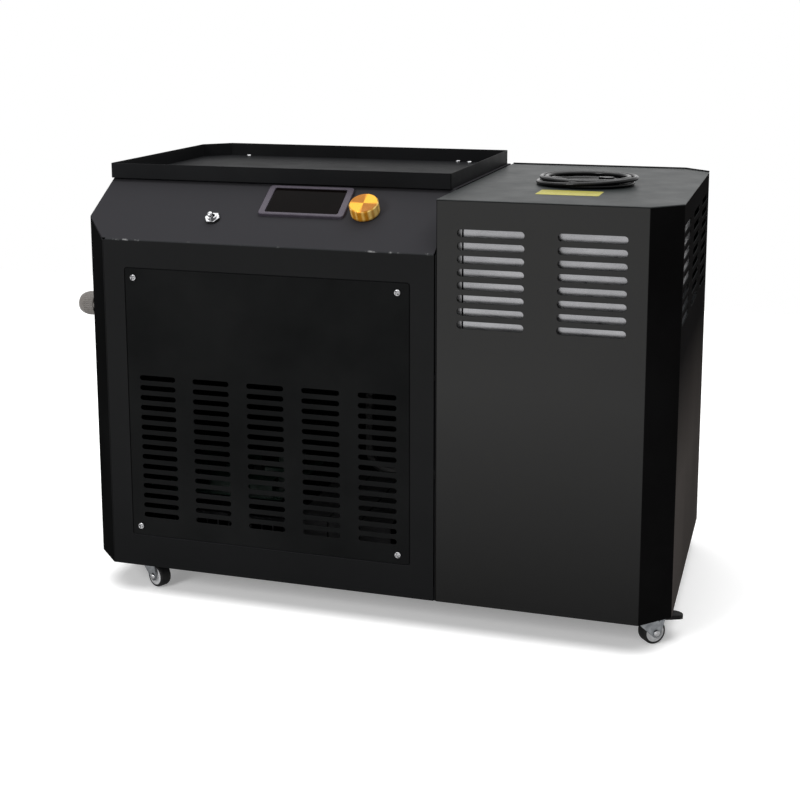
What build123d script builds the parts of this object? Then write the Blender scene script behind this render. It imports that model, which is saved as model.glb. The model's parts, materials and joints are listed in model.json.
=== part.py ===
"""Electric gold melting furnace: an induction furnace cabinet with its water chiller, on four casters.

Millimetres, +Z up, front towards -Y. The origin is the bottom centre of the whole machine's box.
The furnace cabinet stands left of the seam and the chiller cabinet right of it.
"""

import math
import os

from build123d import *

os.makedirs("parts", exist_ok=True)

# ---------------------------------------------------------------- driving dimensions

# cabinets
furnace_width = 495.0
chiller_width = 296.0
cabinet_depth = 438.0
cabinet_height = 520.0
corner_cut = 37.0  # run of the 45 degree cut on each outer vertical corner
sheet = 1.5
pan_sheet = 2.0
pan_flange = 18.0
fit = 0.3  # gap between a sheet part and the one it slips into
cover_inset = 12.0  # flange left round the opening that a back cover closes
cover_lap = 8.0  # how far a back cover laps over that flange
cover_corner = 3.0

# control console, folded back from the front sheet
console_rise = 68.5  # height from its fold to the cabinet's top
console_slope = 32.2  # degrees from level
relief = 3.0  # corner relief at each end of the fold

# front service panel
door_width = 391.5
door_height = 368.0
door_from_seam = 34.5
door_from_bottom = 45.0
door_corner = 3.0
door_gap = 1.2
seat_lap = 12.0  # width of the seat frame behind the panel's edge
seat_grip = 8.0  # how far that frame is welded on behind the front sheet

# ventilation slots
slot_bevel = 0.32  # corner bevel of a slot as a share of its height
door_slot_length = 51.5
door_slot_height = 7.0
door_slot_columns = 5
door_slot_rows = 15
door_slot_pitch_x = 76.65
door_slot_pitch_z = 13.65
door_slots_low = 74.0  # lowest row above the cabinet's bottom edge
chiller_slot_length = 83.5
chiller_slot_height = 9.5
chiller_slot_rows = 8
chiller_slot_pitch_z = 16.33
front_slot_columns = 2
front_slot_pitch_x = 124.4
front_slots_from_seam = 68.4  # first column's centre
front_slots_low = 365.0
side_slot_columns = 3
side_slot_pitch_y = 125.5
side_slots_from_front = 84.8
side_slots_low = 374.0
vent_length = 104.0
vent_height = 7.0
vent_rows = 8
vent_pitch = 13.0
furnace_vent_from_left = 155.0
furnace_vent_height = 300.0

# tray on the furnace cabinet
tray_wall = 20.5
tray_sheet = 1.2
tray_from_seam = 7.0
tray_from_front = 99.0
tray_from_back = 2.0

# crucible well, from the outside in
well_from_seam = 252.0
ring_behind_console = 5.224  # from the console's top edge to the mouth ring
ring_land = 12.0  # width of the mouth ring round the liner's seat
ring_thickness = 22.0
deck_hole_gap = 0.5
sleeve_wall = 5.0
sleeve_gap = 2.0  # round the liner's body
liner_rim_lap = 8.0
liner_rim_height = 14.0
liner_wall = 9.0
liner_floor = 10.0
rim_gap = 1.0  # round the liner's rim in its seat
crucible_rim_lap = 4.0
crucible_rim_height = 14.0
crucible_diameter = 77.0
crucible_height = 134.0
crucible_wall = 8.5
crucible_play = 1.5  # round its body in the liner
crucible_sunk = 1.0  # how deep its rim sits below the liner's
crucible_floor = 12.0
crucible_taper = 5.0  # its bore narrows this much on radius
pouring_lip = 6.0  # radius of the groove over its rim
funnel_gap = 1.5  # round the crucible's rim inside the liner
funnel_flare = 3.0
funnel_run = 9.0
liner_lift = 4.0  # air under the liner
hearth_thickness = 20.0
hearth_margin = 19.0  # round the sleeve
hearth_corner = 12.0
coil_room = 29.0  # from the coil to each side of its bracket
bracket_ahead = 64.0  # of the well's axis
bracket_depth = 216.0
bracket_lip = 14.0
window_back = 10.0  # from the well's axis to the middle of each side window
bracket_window = 95.0

# induction coil
coil_tube = 8.0
coil_turns = 5.5
coil_pitch = 17.0
coil_sides = 16  # straight bends of the tube in one turn
coil_gap = 2.0  # between the sleeve and the tube
supply_run = 4.0  # of straight hose between each lead and its bend
return_run = 17.7

# power electronics
transformer_width = 72.0
transformer_depth = 56.0
transformer_height = 146.0
transformer_inset = 4.0  # from the bracket's back edge
winding_radius = 25.0
winding_corner = 8.0
strap_thickness = 6.0
strap_width = 24.0
strap_gap = 8.0  # from the transformer's middle to each strap
heat_sink_from_left = 140.0
heat_sink_from_front = 200.0
heat_sink_width = 220.0
heat_sink_depth = 200.0
heat_sink_base = 8.0
heat_sink_height = 46.0
heat_sink_fins = 14
fin_thickness = 2.5
module_size = (62.0, 34.0, 24.0)
board_thickness = 1.6
board_inset = 8.0
board_corner = 4.0
relay_size = (34.0, 24.0, 16.0)
relay_pitch = (62.0, 56.0)
capacitor_size = (44.0, 62.0, 52.0)
capacitor_gap = 2.0
capacitor_from_well = 92.0
capacitor_from_front = 200.0

# cooling fans
fan_size = 120.0
fan_depth = 25.0
fan_wall = 2.5
fan_hub = 40.0
fan_blades = 7
blade_tip_gap = 3.0
blade_thickness = 1.6
blade_pitch = 50.0  # degrees from the axis
blade_inset = 1.0  # from each end of the hub
rotor_front_gap = 2.0
rotor_back_gap = 1.0  # to the motor carrier
blade_root = 1.0  # how deep a blade starts inside the hub
fan_spider = 6.0
fan_shaft = 6.0
running_gap = 0.05  # radial, round a turning shaft

# chiller
lid_sheet = 1.5
shelf_height = 354.0
tank_from_seam = 33.0
tank_from_front = 8.0
tank_width = 243.0
tank_depth = 407.0
tank_height = 150.0
tank_corner = 34.0
tank_sheet = 1.5
radiator_from_seam = 52.0
radiator_width = 210.0
radiator_depth = 42.0
radiator_height = 230.0
radiator_fins = 16
radiator_header = 20.0
pump_from_seam = 112.0
pump_from_front = 318.0
pump_motor_diameter = 80.0
pump_motor_length = 110.0
pump_volute_diameter = 90.0
pump_volute_length = 38.0
pump_foot = (77.0, 64.0)
hose_diameter = 14.0
hose_hole = 18.0
supply_bend = 30.0
return_bend = 50.0
hose_port_length = 14.0
pump_axis_height = 58.0
return_port_height = 190.0

# console fittings
bezel_width = 119.0
bezel_height = 60.0
bezel_depth = 4.5
bezel_edge = 1.5
bezel_corner = 5.0
bezel_lap = (5.0, 2.5)  # how far it laps over its hole
collar_depth = 12.0
window_width = 101.0
window_height = 50.0
window_thickness = 2.0
window_recess = 1.0
module_depth = 22.0
display_from_seam = 196.5
display_up_slope = 88.0
switch_from_seam = 316.0
switch_up_slope = 47.5
switch_bush = 12.0
switch_bush_height = 6.0
switch_nut_flats = 18.0
switch_nut_height = 3.0
switch_washer = 20.0
washer_thickness = 1.0
lever_length = 17.0  # from its pivot
lever_neck = 1.7  # radius
tip_radius = 3.2
switch_lever_ball = 8.0
lever_play = 0.9  # round the ball
lever_pivot_depth = 2.0  # of the ball's middle under the console
switch_throw = 24.0  # degrees from one position to the other
switch_body = (17.0, 30.0, 24.0)
knob_from_seam = 111.0
knob_up_slope = 73.0
knob_diameter = 38.5
knob_height = 16.0
knob_edge = 1.0
knob_skirt = 1.0  # air between knob and console
pot_diameter = 24.0
pot_depth = 10.0
pot_bush = 9.0
pot_bush_height = 5.0
pot_shaft = 6.0
shaft_end_gap = 1.0

# cable gland on the left side
gland_from_front = 70.0
gland_height = 347.0
gland_flats = 30.0
gland_hex = 11.0
gland_dome = 33.0
gland_reach = 37.0
gland_edge = 5.0
gland_thread = 24.0
gland_thread_length = 14.0

# mains cord, put away on the chiller's lid
cord_diameter = 6.0
cord_ring = 133.0
cord_ring_width = 21.0
cord_ring_height = 12.5
ring_from_seam = 150.0
ring_from_front = 205.0
outlet_across = 27.0  # from the ring's middle
outlet_back = 18.0
outlet_diameter = 16.0
outlet_thread = 10.0
outlet_nose = 12.0
outlet_width = 9.0
outlet_height = 8.5
end_at = (25.0, -36.0)  # where it comes out of the coil, from the ring's middle
end_heading = 62.0  # degrees
end_sheath = 12.0
end_cores = 13.0
core_diameter = 2.0

# casters
bearing_height = 2.5
caster_plate = (42.0, 34.0, 2.0)
caster_plate_corner = 4.0
wheel_diameter = 32.0
wheel_width = 17.0
axle_diameter = 5.0
fork_sheet = 2.0
fork_clearance = 0.6  # between hub and fork leg
fork_top_gap = 2.5  # between tyre and fork
kingpin_diameter = 8.0
kingpin_head = 13.0
kingpin_head_height = 1.2
bearing_diameter = 22.0
bearing_gap = 0.1
bearing_sides = 16
fork_eye = 13.0
fork_top_length = 31.0
fork_top_middle = 2.0
trail = 15.0
eye_sides = 12
caster_from_left = 75.0
caster_from_right = 37.0
caster_from_edge = 40.0  # front and back
brake_heading = 40.0  # degrees, the way the braked caster trails
pedal_length = 60.0  # from the swivel axis to the tip
pedal_width = 18.0
pedal_root = 16.0
pedal_thickness = 5.0
pedal_pivot_reach = 25.0  # along the fork from its swivel axis
pedal_pivot_rise = 1.4  # above the tyre's top
pedal_drop = 5.0  # how much lower its tip is
pivot_pin = 3.0
pivot_boss = 3.0  # radius

# ---------------------------------------------------------------- places worked out from them

pedal_tip = (
    (pedal_length - pedal_width / 2) * math.cos(math.radians(brake_heading)) + pedal_width / 2
)  # reach of the pedal to the right of its swivel axis
side_reach = pedal_tip - caster_from_right
seam_x = (furnace_width + gland_reach - chiller_width - side_reach) / 2
front_y = -(cabinet_depth + sheet) / 2
caster_height = wheel_diameter + fork_top_gap + fork_sheet + bearing_height + caster_plate[2]
base_z = caster_height
top_z = base_z + cabinet_height
left_x = seam_x - furnace_width
right_x = seam_x + chiller_width
back_y = front_y + cabinet_depth
pan_top = base_z + pan_sheet
middle_y = (front_y + back_y) / 2
slope = math.radians(console_slope)
console_low = cabinet_height - console_rise
console_run = console_rise / math.tan(slope)

crucible_bore = crucible_diameter - 2 * crucible_wall
crucible_rim_diameter = crucible_diameter + 2 * crucible_rim_lap
liner_bore = crucible_diameter + 2 * crucible_play
liner_diameter = liner_bore + 2 * liner_wall
liner_rim_diameter = liner_diameter + 2 * liner_rim_lap
liner_height = liner_floor + crucible_height + crucible_sunk
ring_diameter = liner_rim_diameter + 2 * rim_gap + 2 * ring_land
well_x = seam_x - well_from_seam
well_from_front = console_run + ring_behind_console + ring_diameter / 2
well_y = front_y + well_from_front
tray_floor_z = top_z + tray_sheet
ring_low = tray_floor_z - ring_thickness
sleeve_bore = liner_diameter + 2 * sleeve_gap
sleeve_diameter = sleeve_bore + 2 * sleeve_wall
rim_seat_z = tray_floor_z - liner_rim_height
liner_bottom = tray_floor_z - liner_height
hearth_top = liner_bottom - liner_lift
hearth_low = hearth_top - hearth_thickness
bracket_low = hearth_low - sheet
bracket_back = well_y - bracket_ahead + bracket_depth
coil_radius = sleeve_diameter / 2 + coil_gap + coil_tube / 2
bracket_width = 2 * (coil_radius + coil_tube / 2 + coil_room)
hearth_size = sleeve_diameter + 2 * hearth_margin
fan_bore = fan_size - 2 * fan_wall
pedal_pivot = (pedal_pivot_reach, wheel_diameter + pedal_pivot_rise)
coil_low = hearth_top + coil_tube / 2 + fit
coil_high = coil_low + coil_turns * coil_pitch
radiator_y = back_y - fan_depth - fit - radiator_depth / 2
pump_y = front_y + pump_from_front


def level(height):
    """Plane of the floor plan at a height."""
    return Plane.XY.offset(height)


def upright(y):
    """Plane parallel to the front, looking at it from the front."""
    return Plane.XZ.offset(-y)


console = Plane(
    origin=(seam_x, front_y, base_z + console_low),
    x_dir=(1, 0, 0),
    z_dir=(0, -math.sin(slope), math.cos(slope)),
)
console_axis = Axis(console.origin, console.z_dir)


def over_console(height):
    """Plane parallel to the console: x from the seam, y up the slope."""
    return console.offset(height)


def cabinet_plan(x_low, x_high, outer_side, inset=0.0):
    """Floor plan of a cabinet with both outer corners cut, drawn in by an inset."""
    with BuildSketch() as plan:
        with Locations(((x_low + x_high) / 2, middle_y)):
            Rectangle(x_high - x_low, cabinet_depth)
        chamfer(plan.vertices().group_by(Axis.X)[outer_side], corner_cut)
        if inset:
            offset(amount=-inset, kind=Kind.INTERSECTION)
    return plan.sketch


def slot_grid(length, height, pitch_x, pitch_z, columns, rows):
    """Pattern of ventilation slots with bevelled ends, centred on the sketch's origin."""
    with BuildSketch() as grid:
        with GridLocations(pitch_x, pitch_z, columns, rows):
            Rectangle(length, height)
        chamfer(grid.vertices(), slot_bevel * height)
    return grid.sketch


def finish(builder, name):
    """Name a finished piece and write it."""
    builder.part.label = name
    export_step(builder.part, f"parts/{name}.step")


# ---------------------------------------------------------------- furnace cabinet

door_x = seam_x - door_from_seam - door_width / 2
door_z = base_z + door_from_bottom + door_height / 2
furnace_vent_x = left_x + furnace_vent_from_left
furnace_vent_z = base_z + furnace_vent_height
display_hole = (bezel_width - 2 * bezel_lap[0], bezel_height - 2 * bezel_lap[1])

with BuildPart() as furnace_shell:
    with BuildSketch(level(base_z)):
        add(cabinet_plan(left_x, seam_x, 0))
    extrude(amount=cabinet_height)
    with BuildSketch(Plane.YZ.offset(left_x)):
        with BuildLine():
            Polyline(
                (front_y, base_z + console_low),
                (front_y + console_run, top_z),
                (front_y, top_z),
                close=True,
            )
        make_face()
    extrude(amount=furnace_width, mode=Mode.SUBTRACT)
    offset(
        amount=-sheet,
        openings=furnace_shell.faces().sort_by(Axis.Z)[0],
        kind=Kind.INTERSECTION,
    )
    # seat frame of the service panel, welded behind the front sheet
    with BuildSketch(upright(front_y + sheet)):
        with Locations((door_x, door_z)):
            Rectangle(door_width + 2 * seat_grip, door_height + 2 * seat_grip)
            Rectangle(door_width - 2 * seat_lap, door_height - 2 * seat_lap, mode=Mode.SUBTRACT)
    extrude(amount=-sheet)
    with BuildSketch(upright(front_y)):
        with Locations((door_x, door_z)):
            RectangleRounded(door_width + 2 * door_gap, door_height + 2 * door_gap, door_corner + door_gap)
    extrude(amount=-sheet, mode=Mode.SUBTRACT)
    # openings in the back, the deck, the console and the left side
    with BuildSketch(upright(back_y)):
        with Locations(((left_x + corner_cut + seam_x) / 2, (base_z + top_z) / 2)):
            Rectangle(
                furnace_width - corner_cut - 2 * cover_inset - 2 * sheet,
                cabinet_height - 2 * cover_inset - 2 * sheet,
            )
    extrude(amount=sheet, mode=Mode.SUBTRACT)
    with BuildSketch(level(top_z)):
        with Locations((well_x, well_y)):
            Circle(ring_diameter / 2 + deck_hole_gap)
    extrude(amount=-sheet, mode=Mode.SUBTRACT)
    with BuildSketch(over_console(0)):
        with Locations((-display_from_seam, display_up_slope)):
            Rectangle(*display_hole)
        with Locations((-switch_from_seam, switch_up_slope)):
            Circle(switch_bush / 2 + fit)
        with Locations((-knob_from_seam, knob_up_slope)):
            Circle(pot_bush / 2 + fit)
    extrude(amount=-2 * sheet, mode=Mode.SUBTRACT)
    with BuildSketch(upright(front_y)):
        with Locations(
            (left_x + corner_cut + relief / 2, base_z + console_low),
            (seam_x - sheet - relief / 2, base_z + console_low),
        ):
            Rectangle(relief, relief)
    extrude(amount=-2 * sheet, mode=Mode.SUBTRACT)
    with BuildSketch(Plane.YZ.offset(left_x)):
        with Locations((front_y + gland_from_front, base_z + gland_height)):
            Circle(gland_thread / 2 + fit)
    extrude(amount=sheet, mode=Mode.SUBTRACT)
    # hose passages to the chiller
    with BuildSketch(Plane.YZ.offset(seam_x)):
        with Locations(
            (pump_y, base_z + pump_axis_height),
            (radiator_y, base_z + return_port_height),
        ):
            Circle(hose_hole / 2)
    extrude(amount=-sheet, mode=Mode.SUBTRACT)
finish(furnace_shell, "furnace_shell")


def base_pan(x_low, x_high, outer_side):
    """Bottom pan of a cabinet, with its edges folded up inside the shell."""
    with BuildPart() as pan:
        with BuildSketch(level(base_z)):
            add(cabinet_plan(x_low, x_high, outer_side, sheet + fit))
        extrude(amount=pan_flange)
        offset(
            amount=-pan_sheet,
            openings=pan.faces().sort_by(Axis.Z)[-1],
            kind=Kind.INTERSECTION,
        )
    return pan


def back_cover(x_low, x_high, vent_x, vent_z, name):
    """Cover over the back opening, with a block of fan slots."""
    middle_x = (x_low + x_high) / 2
    margin = cover_inset + sheet - cover_lap
    with BuildPart() as cover:
        with BuildSketch(upright(back_y)) as face:
            with Locations((middle_x, (base_z + top_z) / 2)):
                Rectangle(x_high - x_low - 2 * margin, cabinet_height - 2 * margin)
            chamfer(face.vertices(), cover_corner)
            with Locations((vent_x, vent_z)):
                add(
                    slot_grid(vent_length, vent_height, 1, vent_pitch, 1, vent_rows),
                    mode=Mode.SUBTRACT,
                )
        extrude(amount=-sheet)
    finish(cover, name)


finish(base_pan(left_x, seam_x, 0), "furnace_base_pan")
back_cover(left_x + corner_cut, seam_x, furnace_vent_x, furnace_vent_z, "furnace_back_cover")

with BuildPart() as service_panel:
    with BuildSketch(upright(front_y)):
        with Locations((door_x, door_z)):
            RectangleRounded(door_width, door_height, door_corner)
        slots_middle = base_z + door_slots_low + (door_slot_rows - 1) * door_slot_pitch_z / 2
        with Locations((door_x, slots_middle)):
            add(
                slot_grid(
                    door_slot_length,
                    door_slot_height,
                    door_slot_pitch_x,
                    door_slot_pitch_z,
                    door_slot_columns,
                    door_slot_rows,
                ),
                mode=Mode.SUBTRACT,
            )
    extrude(amount=-sheet)
finish(service_panel, "service_panel")

with BuildPart() as tray:
    with BuildSketch(level(top_z)):
        add(cabinet_plan(left_x, seam_x, 0))
        with Locations((seam_x - tray_from_seam, back_y - tray_from_back)):
            Rectangle(
                furnace_width,
                cabinet_depth - tray_from_front - tray_from_back,
                align=(Align.MAX, Align.MAX),
                mode=Mode.INTERSECT,
            )
    extrude(amount=tray_wall)
    offset(amount=-tray_sheet, openings=tray.faces().sort_by(Axis.Z)[-1], kind=Kind.INTERSECTION)
    with BuildSketch(level(top_z)):
        with Locations((well_x, well_y)):
            Circle(ring_diameter / 2 + deck_hole_gap)
    extrude(amount=tray_sheet, mode=Mode.SUBTRACT)
finish(tray, "tray")

# ---------------------------------------------------------------- crucible well

well = Plane(origin=(well_x, well_y, 0), x_dir=(1, 0, 0), z_dir=(0, -1, 0))


def turned(profile, name):
    """Piece turned about the well's axis from (radius, height) points."""
    with BuildPart() as piece:
        with BuildSketch(well):
            with BuildLine():
                Polyline(*profile, close=True)
            make_face()
        revolve(axis=Axis((well_x, well_y, 0), (0, 0, 1)))
    finish(piece, name)


rim_seat_radius = liner_rim_diameter / 2 + rim_gap
turned(
    (
        (sleeve_bore / 2, ring_low),
        (ring_diameter / 2, ring_low),
        (ring_diameter / 2, tray_floor_z),
        (rim_seat_radius, tray_floor_z),
        (rim_seat_radius, rim_seat_z),
        (sleeve_bore / 2, rim_seat_z),
    ),
    "mouth_ring",
)
turned(
    (
        (sleeve_bore / 2, hearth_top),
        (sleeve_diameter / 2, hearth_top),
        (sleeve_diameter / 2, ring_low),
        (sleeve_bore / 2, ring_low),
    ),
    "refractory_sleeve",
)

liner_funnel = crucible_rim_diameter / 2 + funnel_gap
liner_floor_z = liner_bottom + liner_floor
crucible_top = liner_floor_z + crucible_height
funnel_low = crucible_top - crucible_rim_height - funnel_gap
turned(
    (
        (0, liner_bottom),
        (liner_diameter / 2, liner_bottom),
        (liner_diameter / 2, rim_seat_z),
        (liner_rim_diameter / 2, rim_seat_z),
        (liner_rim_diameter / 2, tray_floor_z),
        (liner_funnel + funnel_flare, tray_floor_z),
        (liner_funnel, funnel_low),
        (liner_bore / 2, funnel_low - funnel_run),
        (liner_bore / 2, liner_floor_z),
        (0, liner_floor_z),
    ),
    "crucible_liner",
)

with BuildPart() as crucible:
    with BuildSketch(well):
        with BuildLine():
            Polyline(
                (0, liner_floor_z),
                (crucible_diameter / 2, liner_floor_z),
                (crucible_diameter / 2, crucible_top - crucible_rim_height),
                (crucible_rim_diameter / 2, crucible_top - crucible_rim_height),
                (crucible_rim_diameter / 2, crucible_top),
                (crucible_bore / 2, crucible_top),
                (crucible_bore / 2 - crucible_taper, liner_floor_z + crucible_floor),
                (0, liner_floor_z + crucible_floor),
                close=True,
            )
        make_face()
    revolve(axis=Axis((well_x, well_y, 0), (0, 0, 1)))
    # pouring lip: a groove that runs out over the rim
    with BuildSketch(Plane(origin=(well_x, well_y, crucible_top), z_dir=(-1, 0, 0))):
        Circle(pouring_lip)
    extrude(amount=crucible_rim_diameter, mode=Mode.SUBTRACT)
finish(crucible, "graphite_crucible")

with BuildPart() as hearth_board:
    with BuildSketch(level(hearth_low)) as board:
        with Locations((well_x, well_y)):
            Rectangle(hearth_size, hearth_size)
        chamfer(board.vertices(), hearth_corner)
    extrude(amount=hearth_thickness)
finish(hearth_board, "hearth_board")

# folded bracket that hangs from the deck and carries the hearth, the coil and the transformer
deck_low = top_z - sheet
with BuildPart() as coil_bracket:
    with BuildSketch(upright(bracket_back - bracket_depth)):
        with BuildLine():
            half = bracket_width / 2
            Polyline(
                (well_x - half - bracket_lip, deck_low),
                (well_x - half - bracket_lip, deck_low - sheet),
                (well_x - half - sheet, deck_low - sheet),
                (well_x - half - sheet, bracket_low),
                (well_x + half + sheet, bracket_low),
                (well_x + half + sheet, deck_low - sheet),
                (well_x + half + bracket_lip, deck_low - sheet),
                (well_x + half + bracket_lip, deck_low),
                (well_x + half, deck_low),
                (well_x + half, hearth_low),
                (well_x - half, hearth_low),
                (well_x - half, deck_low),
                close=True,
            )
        make_face()
    extrude(amount=-bracket_depth)
    # windows that let the coil's heat out of the bracket's sides
    with BuildSketch(Plane.YZ.offset(well_x)):
        with Locations((well_y + window_back, (hearth_top + ring_low) / 2)):
            Rectangle(bracket_window, coil_high - coil_low)
    extrude(amount=bracket_width, both=True, mode=Mode.SUBTRACT)
    with BuildSketch(level(hearth_low)):
        with Locations((well_x + coil_radius, pump_y)):
            Circle(hose_hole / 2)
    extrude(amount=-sheet, mode=Mode.SUBTRACT)
finish(coil_bracket, "coil_bracket")


def coil_point(turn):
    """Point of the coil's centre line after so many turns, counted from its right side."""
    angle = 2 * math.pi * turn
    return (
        well_x + coil_radius * math.cos(angle),
        well_y - coil_radius * math.sin(angle),
        coil_low + coil_pitch * turn,
    )


# copper tube bent round the sleeve; both ends run straight back
steps = int(coil_turns * coil_sides)
coil_path = [coil_point(step / coil_sides) for step in range(steps + 1)]
supply_end = (well_x + coil_radius, pump_y - supply_bend - supply_run, coil_low)
return_end = (well_x - coil_radius, radiator_y - return_bend - return_run, coil_high)
with BuildPart() as induction_coil:
    with BuildLine() as coil_line:
        Polyline(supply_end, *coil_path, return_end)
    with BuildSketch(Plane(origin=supply_end, z_dir=coil_line.line % 0)):
        RegularPolygon(coil_tube / 2, 8)
    sweep(transition=Transition.RIGHT)
finish(induction_coil, "induction_coil")

# ---------------------------------------------------------------- power electronics

transformer_y = bracket_back - transformer_depth / 2 - transformer_inset
yoke = transformer_width / 6
with BuildPart() as matching_transformer:
    with BuildSketch(upright(transformer_y - transformer_depth / 4)):
        with Locations((well_x, hearth_low + transformer_height / 2)):
            Rectangle(transformer_width, transformer_height)
            with GridLocations(transformer_width / 2 - yoke / 2, 1, 2, 1):
                Rectangle(yoke, transformer_height - 2 * yoke, mode=Mode.SUBTRACT)
    extrude(amount=-transformer_depth / 2)
    # winding round the middle leg
    with BuildSketch(level(hearth_low + yoke + fit)):
        with Locations((well_x, transformer_y)):
            RectangleRounded(2 * winding_radius, transformer_depth, winding_corner)
            Rectangle(transformer_width / 3, transformer_depth / 2, mode=Mode.SUBTRACT)
    extrude(amount=transformer_height - 2 * yoke - 2 * fit)
finish(matching_transformer, "matching_transformer")

# copper straps from the winding to the coil's two leads
winding_front = transformer_y - transformer_depth / 2
with BuildPart() as coil_terminals:
    for side, lead_z in ((1, coil_low), (-1, coil_high)):
        with BuildSketch(level(lead_z + coil_tube / 2)):
            with Locations((well_x + side * (coil_radius + coil_tube / 2 + strap_gap) / 2, winding_front)):
                Rectangle(
                    coil_radius + coil_tube / 2 - strap_gap, strap_width, align=(Align.CENTER, Align.MAX)
                )
        extrude(amount=strap_thickness)
finish(coil_terminals, "coil_terminals")

heat_sink_x = left_x + heat_sink_from_left
heat_sink_y = front_y + heat_sink_from_front
with BuildPart() as heat_sink:
    with BuildSketch(upright(heat_sink_y - heat_sink_depth / 2)):
        with Locations((heat_sink_x, pan_top)):
            Rectangle(
                heat_sink_width, heat_sink_height, align=(Align.CENTER, Align.MIN)
            )
        fin_pitch = (heat_sink_width - fin_thickness) / (heat_sink_fins - 1)
        fin_height = heat_sink_height - heat_sink_base
        with Locations((heat_sink_x, pan_top + fin_height / 2)):
            with GridLocations(fin_pitch, 1, heat_sink_fins - 1, 1):
                Rectangle(fin_pitch - fin_thickness, fin_height, mode=Mode.SUBTRACT)
    extrude(amount=-heat_sink_depth)
finish(heat_sink, "heat_sink")

module_low = pan_top + heat_sink_height
with BuildPart() as power_modules:
    with BuildSketch(level(module_low)):
        with Locations((heat_sink_x, heat_sink_y)):
            with GridLocations(heat_sink_width / 3, 1, 3, 1):
                Rectangle(module_size[1], module_size[0])
    extrude(amount=module_size[2])
finish(power_modules, "power_modules")

with BuildPart() as inverter_board:
    with BuildSketch(level(module_low + module_size[2])) as board:
        with Locations((heat_sink_x, heat_sink_y)):
            Rectangle(heat_sink_width - 2 * board_inset, heat_sink_depth - 2 * board_inset)
        chamfer(board.vertices(), board_corner)
    extrude(amount=board_thickness)
    # relays, chokes and the driver card on it
    with BuildSketch(level(module_low + module_size[2] + board_thickness)):
        with Locations((heat_sink_x, heat_sink_y)):
            with GridLocations(relay_pitch[0], relay_pitch[1], 3, 3):
                Rectangle(relay_size[0], relay_size[1])
    extrude(amount=relay_size[2])
finish(inverter_board, "inverter_board")

capacitor_x = well_x + capacitor_from_well
capacitor_y = front_y + capacitor_from_front
with BuildPart() as capacitor_bank:
    with BuildSketch(level(pan_top)) as cans:
        with Locations((capacitor_x, capacitor_y)):
            with GridLocations(
                capacitor_size[0] + capacitor_gap, capacitor_size[1] + capacitor_gap, 3, 3
            ):
                Rectangle(capacitor_size[0], capacitor_size[1])
    extrude(amount=capacitor_size[2])
finish(capacitor_bank, "capacitor_bank")

# ---------------------------------------------------------------- cooling fans


def fan_frame(x, z, name):
    """Square fan frame with a three-armed motor carrier, screwed to a back cover's inside."""
    with BuildPart() as frame:
        with BuildSketch(upright(back_y)):
            with Locations((x, z)):
                Rectangle(fan_size, fan_size)
                Circle(fan_bore / 2, mode=Mode.SUBTRACT)
        extrude(amount=fan_depth)
        with BuildSketch(upright(back_y)):
            with Locations((x, z)):
                Circle(fan_hub / 2)
                with PolarLocations(0, 3):
                    Rectangle(fan_size / 2, fan_spider, align=(Align.MIN, Align.CENTER))
                Circle(fan_shaft / 2 + running_gap, mode=Mode.SUBTRACT)
        extrude(amount=fan_spider)
    finish(frame, name)


def fan_rotor(x, z, name):
    """Seven pitched blades on a hub that turns on the frame's carrier."""
    hub_front = back_y - fan_depth + rotor_front_gap
    hub_back = back_y - fan_spider - rotor_back_gap
    blade_length = fan_bore / 2 - blade_tip_gap - fan_hub / 2
    with BuildPart() as rotor:
        with BuildSketch(upright(hub_back)):
            with Locations((x, z)):
                Circle(fan_hub / 2)
        extrude(amount=hub_back - hub_front)
        with BuildSketch(upright(hub_back)):
            with Locations((x, z)):
                Circle(fan_shaft / 2)
        extrude(amount=-fan_spider - rotor_back_gap)
        chord = (hub_back - hub_front - 2 * blade_inset) / math.cos(math.radians(blade_pitch))
        for blade in range(fan_blades):
            turn = 360 / fan_blades * blade
            spoke = Plane(
                Location((x, (hub_front + hub_back) / 2, z)) * Rotation(0, turn, 0) * Rotation(0, 90, 0)
            )
            with BuildSketch(spoke.offset(fan_hub / 2 - blade_root)):
                Rectangle(blade_thickness, chord, rotation=blade_pitch)
            extrude(amount=blade_root + blade_length)
    finish(rotor, name)


radiator_x = seam_x + radiator_from_seam + radiator_width / 2
radiator_fan_z = pan_top + radiator_height / 2
fan_frame(furnace_vent_x, furnace_vent_z, "inverter_fan_frame")
fan_rotor(furnace_vent_x, furnace_vent_z, "inverter_fan_rotor")
fan_frame(radiator_x, radiator_fan_z, "radiator_fan_frame")
fan_rotor(radiator_x, radiator_fan_z, "radiator_fan_rotor")

# ---------------------------------------------------------------- console fittings

display_at = (-display_from_seam, display_up_slope)
window_low = bezel_depth - window_recess - window_thickness
with BuildPart() as display_bezel:
    with BuildSketch(over_console(0)):
        with Locations(display_at):
            RectangleRounded(bezel_width, bezel_height, bezel_corner)
    extrude(amount=bezel_depth)
    chamfer(display_bezel.faces().sort_by(console_axis)[-1].edges(), bezel_edge)
    with BuildSketch(over_console(0)):
        with Locations(display_at):
            Rectangle(display_hole[0] - 2 * fit, display_hole[1] - 2 * fit)
    extrude(amount=-collar_depth)
    with BuildSketch(over_console(-collar_depth)):
        with Locations(display_at):
            Rectangle(window_width, window_height)
    extrude(amount=collar_depth + bezel_depth, mode=Mode.SUBTRACT)
finish(display_bezel, "display_bezel")

with BuildPart() as display_window:
    with BuildSketch(over_console(window_low)):
        with Locations(display_at):
            Rectangle(window_width - 2 * fit, window_height - 2 * fit)
    extrude(amount=window_thickness)
finish(display_window, "display_window")

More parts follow.
